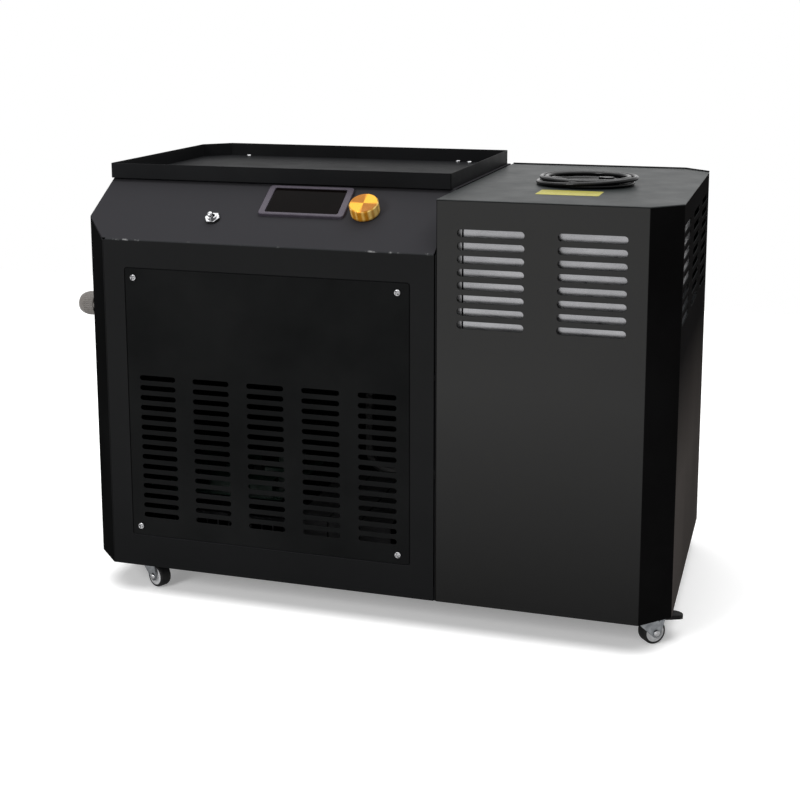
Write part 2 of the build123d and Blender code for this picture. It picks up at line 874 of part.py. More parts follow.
with BuildPart() as display_module:
    with BuildSketch(over_console(window_low)):
        with Locations(display_at):
            Rectangle(window_width - 2 * fit, window_height - 2 * fit)
    extrude(amount=-module_depth)
    with BuildSketch(over_console(window_low - module_depth)):
        with Locations(display_at):
            Rectangle(display_hole[0], display_hole[1])
    extrude(amount=-board_thickness)
finish(display_module, "display_module")

switch_at = (-switch_from_seam, switch_up_slope)
lever_bore = switch_lever_ball / 2 + lever_play
with BuildPart() as switch_housing:
    with BuildSketch(over_console(-sheet)):
        with Locations(switch_at):
            Rectangle(switch_body[0], switch_body[1])
    extrude(amount=-switch_body[2])
    with BuildSketch(over_console(-sheet)):
        with Locations(switch_at):
            Circle(switch_bush / 2)
    extrude(amount=sheet + switch_bush_height)
    with BuildSketch(over_console(switch_bush_height)):
        with Locations(switch_at):
            Circle(lever_bore)
    extrude(amount=-switch_bush_height - lever_pivot_depth - switch_lever_ball, mode=Mode.SUBTRACT)
finish(switch_housing, "switch_housing")

with BuildPart() as switch_nut:
    with BuildSketch(over_console(0)):
        with Locations(switch_at):
            Circle(switch_washer / 2)
            Circle(switch_bush / 2 + running_gap, mode=Mode.SUBTRACT)
    extrude(amount=washer_thickness)
    with BuildSketch(over_console(washer_thickness)):
        with Locations(switch_at):
            RegularPolygon(switch_nut_flats / 2, 6, major_radius=False)
            Circle(switch_bush / 2 + running_gap, mode=Mode.SUBTRACT)
    extrude(amount=switch_nut_height)
finish(switch_nut, "switch_nut")

# the lever leans down the slope in its off position
lever_pivot = over_console(-lever_pivot_depth).from_local_coords(switch_at)
lean = slope + math.radians(switch_throw / 2)
lever_plane = Plane(
    origin=lever_pivot, x_dir=(1, 0, 0), z_dir=(0, -math.sin(lean), math.cos(lean))
)
lever_side = Plane(origin=lever_pivot, x_dir=(1, 0, 0), z_dir=-lever_plane.y_dir)
with BuildPart() as switch_lever:
    with BuildSketch(lever_side):
        with BuildLine():
            Polyline(
                (0, -switch_lever_ball / 2),
                (switch_lever_ball / 4, -switch_lever_ball / 2),
                (switch_lever_ball / 2, 0),
                (lever_neck, switch_lever_ball / 2),
                (tip_radius, lever_length - tip_radius),
                (tip_radius / 2, lever_length),
                (0, lever_length),
                close=True,
            )
        make_face()
    revolve(axis=Axis(lever_pivot, lever_plane.z_dir))
finish(switch_lever, "switch_lever")

knob_at = (-knob_from_seam, knob_up_slope)
with BuildPart() as potentiometer:
    with BuildSketch(over_console(-sheet)):
        with Locations(knob_at):
            Circle(pot_diameter / 2)
    extrude(amount=-pot_depth)
    with BuildSketch(over_console(-sheet)):
        with Locations(knob_at):
            Circle(pot_bush / 2)
    extrude(amount=sheet + pot_bush_height)
    with BuildSketch(over_console(pot_bush_height)):
        with Locations(knob_at):
            Circle(pot_shaft / 2 + running_gap)
    extrude(amount=-pot_bush_height - pot_depth, mode=Mode.SUBTRACT)
finish(potentiometer, "potentiometer")

with BuildPart() as power_knob:
    with BuildSketch(over_console(knob_skirt)):
        with Locations(knob_at):
            Circle(knob_diameter / 2)
    extrude(amount=knob_height)
    chamfer(power_knob.faces().sort_by(console_axis)[-1].edges(), knob_edge)
    with BuildSketch(over_console(knob_skirt)):
        with Locations(knob_at):
            Circle(pot_bush / 2 + knob_edge)
    extrude(amount=pot_bush_height + knob_edge, mode=Mode.SUBTRACT)
    # shaft that turns in the potentiometer's bush
    with BuildSketch(over_console(knob_skirt + knob_height / 2)):
        with Locations(knob_at):
            Circle(pot_shaft / 2)
    extrude(amount=shaft_end_gap - knob_skirt - knob_height / 2 - pot_depth)
finish(power_knob, "power_knob")

# ---------------------------------------------------------------- cable gland

gland_y = front_y + gland_from_front
gland_z = base_z + gland_height


def gland_plane(reach):
    """Plane across the gland's axis, so far outside the furnace's left side."""
    return Plane(origin=(left_x - reach, gland_y, gland_z), x_dir=(0, -1, 0), z_dir=(-1, 0, 0))


with BuildPart() as cable_gland:
    with BuildSketch(gland_plane(-gland_thread_length)):
        Circle(gland_thread / 2)
    extrude(amount=gland_thread_length)
    with BuildSketch(gland_plane(0)):
        RegularPolygon(gland_flats / 2, 6, major_radius=False)
    extrude(amount=gland_hex)
    with BuildSketch(gland_plane(gland_hex)):
        Circle(gland_dome / 2)
    extrude(amount=gland_reach - gland_hex)
    chamfer(cable_gland.faces().sort_by(Axis.X)[0].edges(), gland_edge)
finish(cable_gland, "cable_gland")

# ---------------------------------------------------------------- chiller cabinet

lid_low = top_z - lid_sheet
with BuildPart() as chiller_shell:
    with BuildSketch(level(base_z)):
        add(cabinet_plan(seam_x, right_x, -1))
    extrude(amount=cabinet_height - lid_sheet)
    offset(
        amount=-sheet,
        openings=chiller_shell.faces().sort_by(Axis.Z)[0],
        kind=Kind.INTERSECTION,
    )
    with BuildSketch(level(lid_low)):
        add(cabinet_plan(seam_x, right_x, -1, sheet + cover_inset))
    extrude(amount=-sheet, mode=Mode.SUBTRACT)
    with BuildSketch(upright(back_y)):
        with Locations(((seam_x + right_x - corner_cut) / 2, (base_z + top_z) / 2)):
            Rectangle(
                chiller_width - corner_cut - 2 * cover_inset - 2 * sheet,
                cabinet_height - 2 * cover_inset - 2 * sheet,
            )
    extrude(amount=sheet, mode=Mode.SUBTRACT)
    with BuildSketch(upright(front_y)):
        with Locations(
            (
                seam_x + front_slots_from_seam + front_slot_pitch_x / 2,
                base_z + front_slots_low + (chiller_slot_rows - 1) * chiller_slot_pitch_z / 2,
            )
        ):
            add(
                slot_grid(
                    chiller_slot_length,
                    chiller_slot_height,
                    front_slot_pitch_x,
                    chiller_slot_pitch_z,
                    front_slot_columns,
                    chiller_slot_rows,
                )
            )
    extrude(amount=-sheet, mode=Mode.SUBTRACT)
    with BuildSketch(Plane.YZ.offset(right_x)):
        with Locations(
            (
                front_y + side_slots_from_front + side_slot_pitch_y,
                base_z + side_slots_low + (chiller_slot_rows - 1) * chiller_slot_pitch_z / 2,
            )
        ):
            add(
                slot_grid(
                    chiller_slot_length,
                    chiller_slot_height,
                    side_slot_pitch_y,
                    chiller_slot_pitch_z,
                    side_slot_columns,
                    chiller_slot_rows,
                )
            )
    extrude(amount=-sheet, mode=Mode.SUBTRACT)
    with BuildSketch(Plane.YZ.offset(seam_x)):
        with Locations(
            (pump_y, base_z + pump_axis_height), (radiator_y, base_z + return_port_height)
        ):
            Circle(hose_hole / 2)
    extrude(amount=sheet, mode=Mode.SUBTRACT)
finish(chiller_shell, "chiller_shell")

finish(base_pan(seam_x, right_x, -1), "chiller_base_pan")
back_cover(seam_x, right_x - corner_cut, radiator_x, radiator_fan_z, "chiller_back_cover")

ring_x = seam_x + ring_from_seam
ring_y = front_y + ring_from_front
outlet_x = ring_x + outlet_across
outlet_y = ring_y + outlet_back
with BuildPart() as chiller_lid:
    with BuildSketch(level(lid_low)):
        add(cabinet_plan(seam_x, right_x, -1))
        with Locations((outlet_x, outlet_y)):
            Circle(outlet_thread / 2 + fit, mode=Mode.SUBTRACT)
    extrude(amount=lid_sheet)
finish(chiller_lid, "chiller_lid")

shelf_z = base_z + shelf_height
suction_at = (seam_x + pump_from_seam, pump_y)
overflow_at = (radiator_x + radiator_width / 2 - radiator_header / 2, radiator_y)
with BuildPart() as tank_shelf:
    with BuildSketch(level(shelf_z)):
        add(cabinet_plan(seam_x, right_x, -1, sheet + fit))
    extrude(amount=-pan_flange)
    offset(
        amount=-sheet, openings=tank_shelf.faces().sort_by(Axis.Z)[0], kind=Kind.INTERSECTION
    )
    with BuildSketch(level(shelf_z)):
        with Locations(suction_at, overflow_at):
            Circle(hose_hole / 2)
    extrude(amount=-sheet, mode=Mode.SUBTRACT)
finish(tank_shelf, "tank_shelf")

with BuildPart() as water_tank:
    with BuildSketch(level(shelf_z)) as tank_plan:
        with Locations((seam_x + tank_from_seam, front_y + tank_from_front)):
            Rectangle(tank_width, tank_depth, align=(Align.MIN, Align.MIN))
        chamfer(tank_plan.vertices().group_by(Axis.X)[-1], tank_corner)
    extrude(amount=tank_height)
    offset(
        amount=-tank_sheet, openings=water_tank.faces().sort_by(Axis.Z)[-1], kind=Kind.INTERSECTION
    )
finish(water_tank, "water_tank")

with BuildPart() as radiator:
    with BuildSketch(upright(radiator_y - radiator_depth / 2)):
        with Locations((radiator_x, radiator_fan_z)):
            Rectangle(radiator_width, radiator_height)
            fin_pitch = radiator_height / radiator_fins
            with GridLocations(1, fin_pitch, 1, radiator_fins - 1):
                Rectangle(
                    radiator_width - 2 * radiator_header,
                    fin_pitch - fin_thickness,
                    mode=Mode.SUBTRACT,
                )
    extrude(amount=-radiator_depth)
    with BuildSketch(Plane.YZ.offset(radiator_x - radiator_width / 2)):
        with Locations((radiator_y, base_z + return_port_height)):
            Circle(hose_diameter / 2)
    extrude(amount=-hose_port_length)
finish(radiator, "radiator")

pump_axis_z = base_z + pump_axis_height


def pump_plane(from_seam):
    """Plane across the pump's axis, so far right of the seam."""
    return Plane(origin=(seam_x + from_seam, pump_y, pump_axis_z), x_dir=(0, 1, 0), z_dir=(1, 0, 0))


volute_from_seam = pump_from_seam - pump_volute_length / 2
with BuildPart() as water_pump:
    with BuildSketch(pump_plane(volute_from_seam)):
        Circle(pump_volute_diameter / 2)
    extrude(amount=pump_volute_length)
    with BuildSketch(pump_plane(volute_from_seam + pump_volute_length)):
        Circle(pump_motor_diameter / 2)
    extrude(amount=pump_motor_length)
    with BuildSketch(pump_plane(volute_from_seam)):
        Circle(hose_diameter / 2)
    extrude(amount=-hose_port_length)
    with BuildSketch(level(pump_axis_z)):
        with Locations(suction_at):
            Circle(hose_diameter / 2)
    extrude(amount=pump_volute_diameter / 2 + hose_port_length)
    # foot under the motor
    with BuildSketch(level(pan_top)):
        with Locations((seam_x + pump_from_seam + pump_volute_length / 2 + pump_motor_length / 2, pump_y)):
            Rectangle(*pump_foot)
    extrude(amount=pump_axis_z - pan_top - pump_motor_diameter / 4)
finish(water_pump, "water_pump")


def hose(points, bends, name):
    """Hose along straight runs joined by arcs."""
    with BuildPart() as tube:
        with BuildLine() as route:
            FilletPolyline(*points, radius=bends)
        with BuildSketch(Plane(origin=route.line @ 0, z_dir=route.line % 0)):
            RegularPolygon(hose_diameter / 2, 8)
        sweep()
    finish(tube, name)


hose(
    (
        supply_end,
        (supply_end[0], pump_y, coil_low),
        (supply_end[0], pump_y, pump_axis_z),
        (seam_x + volute_from_seam - hose_port_length, pump_y, pump_axis_z),
    ),
    supply_bend,
    "supply_hose",
)
hose(
    (
        return_end,
        (return_end[0], radiator_y, coil_high),
        (return_end[0], radiator_y, base_z + return_port_height),
        (radiator_x - radiator_width / 2 - hose_port_length, radiator_y, base_z + return_port_height),
    ),
    return_bend,
    "return_hose",
)
with BuildPart() as tank_hoses:
    for place, start_z in (
        (suction_at, pump_axis_z + pump_volute_diameter / 2 + hose_port_length),
        (overflow_at, pan_top + radiator_height),
    ):
        with BuildSketch(level(start_z)):
            with Locations(place):
                Circle(hose_diameter / 2)
        extrude(amount=shelf_z - start_z)
finish(tank_hoses, "tank_hoses")

# ---------------------------------------------------------------- mains cord on the chiller's lid

cord_radius = cord_diameter / 2
with BuildPart() as mains_cord_coil:
    with BuildSketch(level(top_z)):
        with Locations((ring_x, ring_y)):
            Circle(cord_ring / 2)
            Circle(cord_ring / 2 - cord_ring_width, mode=Mode.SUBTRACT)
    extrude(amount=cord_ring_height)
finish(mains_cord_coil, "mains_cord_coil")

# low elbow outlet: a boss through the lid with a nose along it
with BuildPart() as cable_outlet:
    with BuildSketch(level(lid_low - outlet_thread)):
        with Locations((outlet_x, outlet_y)):
            Circle(outlet_thread / 2)
    extrude(amount=outlet_thread + lid_sheet)
    with BuildSketch(level(top_z)):
        with Locations((outlet_x, outlet_y)):
            Circle(outlet_diameter / 2)
        with Locations((outlet_x - outlet_nose / 2, outlet_y)):
            Rectangle(outlet_nose, outlet_width)
    extrude(amount=outlet_height)
finish(cable_outlet, "cable_outlet")

cord_z = top_z + cord_radius
# from the outlet's nose round the inside of the coil and into its innermost turn
cord_route = [
    (ring_x + x, ring_y + y, cord_z)
    for x, y in ((15, 18), (-2, 18), (-18, 11), (-30, -3), (-35, -19), (-32, -33))
]
cord_radii = []
for before, corner, after in zip(cord_route, cord_route[1:], cord_route[2:]):
    run_in = Vector(*corner) - Vector(*before)
    run_out = Vector(*after) - Vector(*corner)
    half_turn = math.radians(run_in.get_angle(run_out)) / 2
    cord_radii.append(0.45 * min(run_in.length, run_out.length) / math.tan(half_turn))
print("cord radii", [round(radius, 1) for radius in cord_radii])
with BuildPart() as mains_cord:
    with BuildLine() as cord_line:
        FilletPolyline(*cord_route, radius=cord_radii)
    with BuildSketch(Plane(origin=cord_line.line @ 0, z_dir=cord_line.line % 0)) as cord_section:
        RegularPolygon(cord_radius, 8)
    sweep()
cord_volume = cord_section.sketch.area * cord_line.wires()[0].length
print("cord volume", round(mains_cord.part.volume), "section times length", round(cord_volume))
finish(mains_cord, "mains_cord")

# stripped far end, tucked inside the coil: sheath and three cores
end_angle = math.radians(end_heading)
end_plane = Plane(
    origin=(ring_x + end_at[0], ring_y + end_at[1], cord_z),
    x_dir=(0, 0, 1),
    z_dir=(math.cos(end_angle), math.sin(end_angle), 0),
)
with BuildPart() as cord_end:
    with BuildSketch(end_plane):
        RegularPolygon(cord_radius, 8)
    extrude(amount=end_sheath)
    with BuildSketch(end_plane.offset(end_sheath)):
        with PolarLocations(cord_radius / 2, 3):
            RegularPolygon(core_diameter / 2, 6)
    extrude(amount=end_cores)
finish(cord_end, "cord_end")

# ---------------------------------------------------------------- casters

wheel_z = wheel_diameter / 2
fork_gap = wheel_width + 2 * fork_clearance
fork_width = fork_gap + 2 * fork_sheet
fork_low = wheel_diameter + fork_top_gap
fork_high = fork_low + fork_sheet
plate_low = base_z - caster_plate[2]
beyond = 4 * caster_height  # reaches past every piece of a caster
casters = {
    "front_left": (left_x + caster_from_left, front_y + caster_from_edge, -27.0),
    "front_right": (right_x - caster_from_right, front_y + caster_from_edge, brake_heading),
    "rear_left": (left_x + caster_from_left, back_y - caster_from_edge, 200.0),
    "rear_right": (right_x - caster_from_right, back_y - caster_from_edge, 125.0),
}

# top plates with their bearing rings and kingpins, under both base pans
with BuildPart() as caster_plates:
    for swivel_x, swivel_y, heading in casters.values():
        with BuildSketch(level(plate_low)) as top_plate:
            with Locations((swivel_x, swivel_y)):
                Rectangle(caster_plate[0], caster_plate[1])
            chamfer(top_plate.vertices(), caster_plate_corner)
        extrude(amount=caster_plate[2])
        with BuildSketch(level(fork_high + bearing_gap)):
            with Locations((swivel_x, swivel_y)):
                RegularPolygon(bearing_diameter / 2, bearing_sides)
        extrude(amount=plate_low - fork_high - bearing_gap)
        with BuildSketch(level(fork_low - bearing_gap)):
            with Locations((swivel_x, swivel_y)):
                Circle(kingpin_diameter / 2)
        extrude(amount=plate_low - fork_low + bearing_gap)
        with BuildSketch(level(fork_low - bearing_gap)):
            with Locations((swivel_x, swivel_y)):
                RegularPolygon(kingpin_head / 2, 6)
        extrude(amount=-kingpin_head_height)
finish(caster_plates, "caster_plates")


def caster_fork(side, braked, name):
    """Fork bent from sheet with its riveted axle; side is the vertical plane along its trail."""
    with BuildPart() as fork:
        with BuildSketch(side):
            with Locations((trail, wheel_z)):
                RegularPolygon(fork_eye / 2, eye_sides)
            with Locations((fork_top_middle, fork_high - fork_sheet / 2)):
                Rectangle(fork_top_length, fork_sheet)
            make_hull()
        extrude(amount=fork_width / 2, both=True)
        if braked:
            with BuildSketch(side):
                with Locations(pedal_pivot):
                    Circle(pivot_boss)
                with Locations((trail, wheel_z)):
                    RegularPolygon(fork_eye / 2, eye_sides)
                make_hull()
            extrude(amount=fork_width / 2, both=True)
        with BuildSketch(side):
            Rectangle(beyond, 2 * fork_low)
            if braked:
                with Locations((fork_top_middle + fork_top_length / 2, 0)):
                    Rectangle(beyond, beyond, align=(Align.MIN, Align.CENTER))
        extrude(amount=fork_gap / 2, both=True, mode=Mode.SUBTRACT)
        with BuildSketch(level(fork_low)):
            with Locations((side.origin.X, side.origin.Y)):
                Circle(kingpin_diameter / 2 + running_gap)
        extrude(amount=fork_sheet, mode=Mode.SUBTRACT)
        with BuildSketch(side):
            with Locations((trail, wheel_z)):
                Circle(axle_diameter / 2)
            if braked:
                with Locations(pedal_pivot):
                    Circle(pivot_pin / 2)
        extrude(amount=fork_width / 2, both=True)
    finish(fork, name)


def caster_wheel(side, name):
    """Wheel on the fork's axle, its tread bonded to its hub."""
    with BuildPart() as wheel:
        with BuildSketch(side):
            with Locations((trail, wheel_z)):
                Circle(wheel_diameter / 2)
                Circle(axle_diameter / 2 + running_gap, mode=Mode.SUBTRACT)
        extrude(amount=wheel_width / 2, both=True)
    finish(wheel, name)


for corner, (swivel_x, swivel_y, heading) in casters.items():
    angle = math.radians(heading)
    fork_side = Plane(
        origin=(swivel_x, swivel_y, 0),
        x_dir=(math.cos(angle), math.sin(angle), 0),
        z_dir=(math.sin(angle), -math.cos(angle), 0),
    )
    braked = corner == "front_right"
    caster_fork(fork_side, braked, f"caster_fork_{corner}")
    caster_wheel(fork_side, f"caster_wheel_{corner}")
    if braked:
        brake_side = fork_side

# pressed pedal: its root turns on the fork's pin, its rounded tip sticks out past the wheel
pivot_u, pivot_v = pedal_pivot
tip_v = pivot_v - pedal_drop
with BuildPart() as brake_pedal:
    with BuildSketch(brake_side):
        with Locations(pedal_pivot):
            Circle(pivot_boss)
        with Locations((pedal_length, tip_v)):
            Circle(pedal_thickness / 2)
        make_hull()
    extrude(amount=pedal_width / 2, both=True)
    with BuildSketch(Plane(origin=brake_side.origin, x_dir=brake_side.x_dir, z_dir=(0, 0, 1))):
        with Locations((pivot_u, 0)):
            Rectangle(2 * pivot_boss, pedal_root)
        with Locations((pedal_length - pedal_width / 2, 0)):
            Circle(pedal_width / 2)
        make_hull()
    extrude(amount=base_z, mode=Mode.INTERSECT)
    with BuildSketch(brake_side):
        with Locations(pedal_pivot):
            Circle(pivot_pin / 2 + running_gap)
    extrude(amount=pedal_width, both=True, mode=Mode.SUBTRACT)
finish(brake_pedal, "brake_pedal")
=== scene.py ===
"""Looks of the electric gold melting furnace: folded sheet cabinets, fittings, cord, casters and studio.

Metres, in the CAD frame: +X right, +Y back, +Z up, floor at z = 0. Values marked mm are in millimetres.
"""

import json
import random
from math import atan2, copysign, cos, pi, radians, sin, sqrt, tan

import bmesh
import bpy
from mathutils import Matrix, Vector


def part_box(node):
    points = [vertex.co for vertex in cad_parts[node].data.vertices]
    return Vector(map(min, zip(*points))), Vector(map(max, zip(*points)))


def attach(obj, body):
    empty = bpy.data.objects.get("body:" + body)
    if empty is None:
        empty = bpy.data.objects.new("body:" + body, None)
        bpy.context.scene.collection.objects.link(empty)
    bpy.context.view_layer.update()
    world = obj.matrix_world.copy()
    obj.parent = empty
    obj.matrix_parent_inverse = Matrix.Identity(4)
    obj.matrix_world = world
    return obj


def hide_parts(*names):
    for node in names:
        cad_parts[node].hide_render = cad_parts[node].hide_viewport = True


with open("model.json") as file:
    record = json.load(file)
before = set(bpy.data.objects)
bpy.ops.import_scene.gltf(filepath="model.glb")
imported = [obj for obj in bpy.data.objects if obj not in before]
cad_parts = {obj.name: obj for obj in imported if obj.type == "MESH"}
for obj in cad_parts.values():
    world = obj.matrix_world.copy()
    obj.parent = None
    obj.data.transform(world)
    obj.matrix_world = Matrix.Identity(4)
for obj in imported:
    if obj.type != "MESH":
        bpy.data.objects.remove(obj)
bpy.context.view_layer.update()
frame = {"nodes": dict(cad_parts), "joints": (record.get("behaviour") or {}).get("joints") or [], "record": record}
random.seed(7)
MM = 0.001

# ---- places taken from the frame

furnace_low, furnace_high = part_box("furnace_shell")
panel_low, panel_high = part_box("service_panel")
tray_low, tray_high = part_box("tray")
ring_low, ring_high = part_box("mouth_ring")
coil_low, coil_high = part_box("mains_cord_coil")
gland_low, gland_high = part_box("cable_gland")
lid_low, lid_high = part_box("chiller_lid")
left_x, front_y, base_z = furnace_low
seam_x = furnace_high.x  # where the two cabinets meet
back_y = furnace_high.y
right_x = lid_high.x
top_z = lid_high.z
coil = (coil_low + coil_high) / 2
gland = (gland_low + gland_high) / 2
well = (ring_low + ring_high) / 2
well_place = Matrix.Translation((well.x, well.y, 0))
door_middle = Vector((panel_low.x + panel_high.x, panel_low.z + panel_high.z)) / 2
door_size = Vector((panel_high.x - panel_low.x, panel_high.z - panel_low.z))
joints = {joint["name"]: joint for joint in frame["joints"]}

# ---- sizes

sheet = 1.5 * MM
tray_sheet = 1.2 * MM
corner_cut = 37 * MM
fold_radius = 2.2 * MM
flange = 13.5 * MM  # left round a back opening
mouth_radius = 70.5 * MM
front_start_x = left_x + corner_cut + 1.2 * MM  # left edge of the furnace's front sheet
fold_z = base_z + 451.5 * MM  # where the console folds back from the front
slope = radians(32.2)
console_run = (top_z - fold_z) / tan(slope)
cord_radius = 3 * MM

# console fittings: distance from the seam and up the slope, mm
display_at = (196.5, 88)
knob_at = (111, 73)
switch_at = (316, 47.5)

# ventilation slots, mm; the lowest row is given above the cabinet's bottom edge
door_slots = dict(length=51.5, height=7, pitch_x=76.65, pitch_z=13.65, columns=5, rows=15, lowest=74)
front_slots = dict(length=83.5, height=9.5, pitch_x=124.4, pitch_z=16.33, columns=2, rows=8, lowest=365)
side_slots = dict(front_slots, pitch_x=125.5, columns=3, lowest=374)
vent_slots = dict(length=104, height=7, pitch_x=0, pitch_z=13, columns=1, rows=8)
front_slots_from_seam = 68.4 + front_slots["pitch_x"] / 2
side_slots_from_front = 84.8 + side_slots["pitch_x"]

# ---- materials

materials = {}


class Nodes:
    """Node tree of a material or a world, with short calls for the nodes used here."""

    def __init__(self, owner):
        owner.use_nodes = True
        self.tree = owner.node_tree

    def feed(self, socket, value):
        """Give an input a number, a colour or another node's output."""
        if isinstance(value, bpy.types.NodeSocket):
            self.tree.links.new(value, socket)
        elif value is not None:
            socket.default_value = (*value, 1) if socket.type == "RGBA" else value

    def node(self, kind, output, inputs, **settings):
        """Add a node, feed its inputs and return one of its outputs."""
        node = self.tree.nodes.new(kind)
        for key, value in settings.items():
            setattr(node, key, value)
        for key, value in inputs.items():
            self.feed(node.inputs[key], value)
        return node.outputs[output]

    def math(self, operation, first, second=None, third=None):
        return self.node("ShaderNodeMath", 0, {0: first, 1: second, 2: third}, operation=operation)

    def mix(self, share, first, second):
        """Colour between two others."""
        return self.node("ShaderNodeMix", 2, {0: share, 6: first, 7: second}, data_type="RGBA")

    def spread(self, value, low, high, out_low=0.0, out_high=1.0):
        """Value mapped from one range to another and kept inside it."""
        return self.node("ShaderNodeMapRange", 0, {0: value, 1: low, 2: high, 3: out_low, 4: out_high})

    def split(self, vector):
        """X, Y and Z of a vector."""
        return list(self.node("ShaderNodeSeparateXYZ", 0, {0: vector}).node.outputs)


class Coat(Nodes):
    """A new material, which knows where a point lies on its piece and which way it faces."""

    def __init__(self, name):
        materials[name] = bpy.data.materials.new(name)
        super().__init__(materials[name])
        coordinates = self.tree.nodes.new("ShaderNodeTexCoord").outputs
        self.place = coordinates["Object"]
        self.facing = coordinates["Normal"]

    def shade(self, **inputs):
        """Feed the shader's inputs, named with _ for a space."""
        shader = self.tree.nodes["Principled BSDF"]
        for name, value in inputs.items():
            self.feed(shader.inputs[name.replace("_", " ")], value)

    def noise(self, scale, detail=3.0, roughness=0.55, stretch=None):
        place = self.place
        if stretch:
            place = self.node("ShaderNodeMapping", 0, {"Vector": place, "Scale": stretch})
        inputs = {"Vector": place, "Scale": scale, "Detail": detail, "Roughness": roughness}
        return self.node("ShaderNodeTexNoise", "Fac", inputs)

    def bump(self, height, depth):
        """Normal that follows a relief of a depth in mm."""
        return self.node("ShaderNodeBump", 0, {"Height": height, "Distance": depth * MM})


def surface(
    name, colour, worn=None, blotch=9.0, rough=(0.4, 0.55), grain=900.0, relief=0.03,
    metallic=0.0, specular=0.5, brush=None,
):
    """Procedural material: blotchy colour, uneven roughness and a fine or brushed grain."""
    coat = Coat(name)
    worn = worn or tuple(min(1.0, c * 1.25 + 0.004) for c in colour)
    patches = coat.spread(coat.noise(blotch, 5.0), 0.3, 0.72)
    smears = coat.noise(blotch * 4, 4.0, 0.6, brush)
    coat.shade(
        Base_Color=coat.mix(patches, colour, worn),
        Roughness=coat.spread(smears, 0.3, 0.7, *rough),
        Normal=coat.bump(coat.noise(grain, 2.0, 0.6, brush), relief),
        Metallic=metallic,
        Specular_IOR_Level=specular,
    )


def dark_coat(name, colour, worn=None, blotch=5, rough=(0.42, 0.52), grain=1100, relief=0.035, specular=0.02):
    """Satin black coat with almost no shine of its own."""
    surface(name, colour, worn, blotch, rough, grain, relief, specular=specular)


def painted_surfaces():
    """Coats, ceramics and plastics."""
    dark_coat("powder_coat", (0.0055, 0.0057, 0.0062))
    dark_coat("panel_coat", (0.0025, 0.0027, 0.0028), None, 6, (0.42, 0.54), specular=0.03)
    # Lid: the cabinets' black coat made lighter, a painted reflection of the bright surroundings on its upward
    # face.
    lid = (0.0095, 0.0113, 0.0115), (0.0138, 0.0161, 0.0162)
    dark_coat("lid_coat", *lid, 4, (0.36, 0.46), 1300, 0.02, 0.1)
    surface("refractory", (0.52, 0.485, 0.42), (0.43, 0.385, 0.325), 40, (0.8, 0.95), 500, 0.2)
    surface("white_ceramic", (0.66, 0.65, 0.625), (0.59, 0.575, 0.54), 30, (0.55, 0.75), 700, 0.06)
    surface("graphite", (0.05, 0.05, 0.052), (0.085, 0.085, 0.088), 25, (0.38, 0.55), 900, 0.04, metallic=0.3)
    black = (0.003, 0.003, 0.003), (0.007, 0.007, 0.007)
    surface("black_plastic", *black, 40, (0.4, 0.6), 1500, specular=0.08)
    surface("white_plastic", (0.022, 0.022, 0.023), (0.016, 0.016, 0.017), 20, (0.35, 0.5), relief=0.02)
    surface("grey_plastic", (0.098, 0.088, 0.08), (0.135, 0.124, 0.114), 70, (0.45, 0.6), 1400)
    surface("wheel_plastic", (0.62, 0.62, 0.63), (0.5, 0.5, 0.51), 90)
    # Circuit boards kept almost black: painted shade inside the cabinet.
    surface("circuit_board", (0.002, 0.01, 0.006), (0.004, 0.016, 0.01), 120, (0.3, 0.45), 400, 0.1)
    bezel = (0.048, 0.041, 0.054), (0.06, 0.052, 0.066)
    surface("bezel_plastic", *bezel, 60, (0.4, 0.5), 1500, 0.015, specular=0.12)
    smoked = (0.0016, 0.0011, 0.001), (0.0024, 0.0016, 0.0015)
    surface("dark_window", *smoked, 30, (0.05, 0.09), 600, 0.002, specular=0.01)
    surface("sticker", (0.29, 0.26, 0.014), (0.23, 0.205, 0.013), 60, (0.35, 0.5), 500, 0.01)
    surface("hose_rubber", (0.02, 0.02, 0.02), (0.04, 0.04, 0.04), 60, (0.5, 0.7), relief=0.08)
    rubber = (0.006, 0.006, 0.0065), (0.013, 0.013, 0.0135)
    surface("tyre_rubber", *rubber, 90, (0.5, 0.68), relief=0.05, specular=0.2)
    sheath = (0.003, 0.003, 0.0032), (0.006, 0.006, 0.0064)
    surface("cord_sheath", *sheath, 90, (0.12, 0.22), relief=0.02, specular=0.2)


def bare_metals():
    """Metals without a coat."""
    surface("copper", (0.72, 0.36, 0.22), (0.5, 0.24, 0.14), 30, (0.2, 0.38), relief=0.02, metallic=1.0)
    surface("core_iron", (0.1, 0.1, 0.105), (0.17, 0.16, 0.15), 30, (0.45, 0.7), relief=0.08, metallic=0.6)
    # Aluminium kept far darker than its own colour: painted shade inside the cabinets.
    aluminium = (0.1, 0.1, 0.105), (0.07, 0.07, 0.075)
    surface("bare_aluminium", *aluminium, 20, (0.28, 0.45), metallic=1.0, brush=(1, 40, 1))
    surface("chrome", (0.5, 0.5, 0.51), (0.12, 0.12, 0.125), 170, (0.12, 0.25), relief=0.01, metallic=1.0)
    steel = (0.35, 0.35, 0.36), (0.25, 0.25, 0.26)
    surface("stainless", *steel, 14, (0.2, 0.36), 500, metallic=1.0, brush=(1, 1, 60))
    surface("dull_zinc", (0.27, 0.27, 0.275), (0.34, 0.34, 0.345), 40, (0.3, 0.5), metallic=1.0)
    # Galvanised steel kept darker than its own colour: painted shade inside the cabinets.
    surface("galvanised", (0.13, 0.137, 0.147), (0.25, 0.26, 0.27), 160, (0.25, 0.45), 700, metallic=0.9)


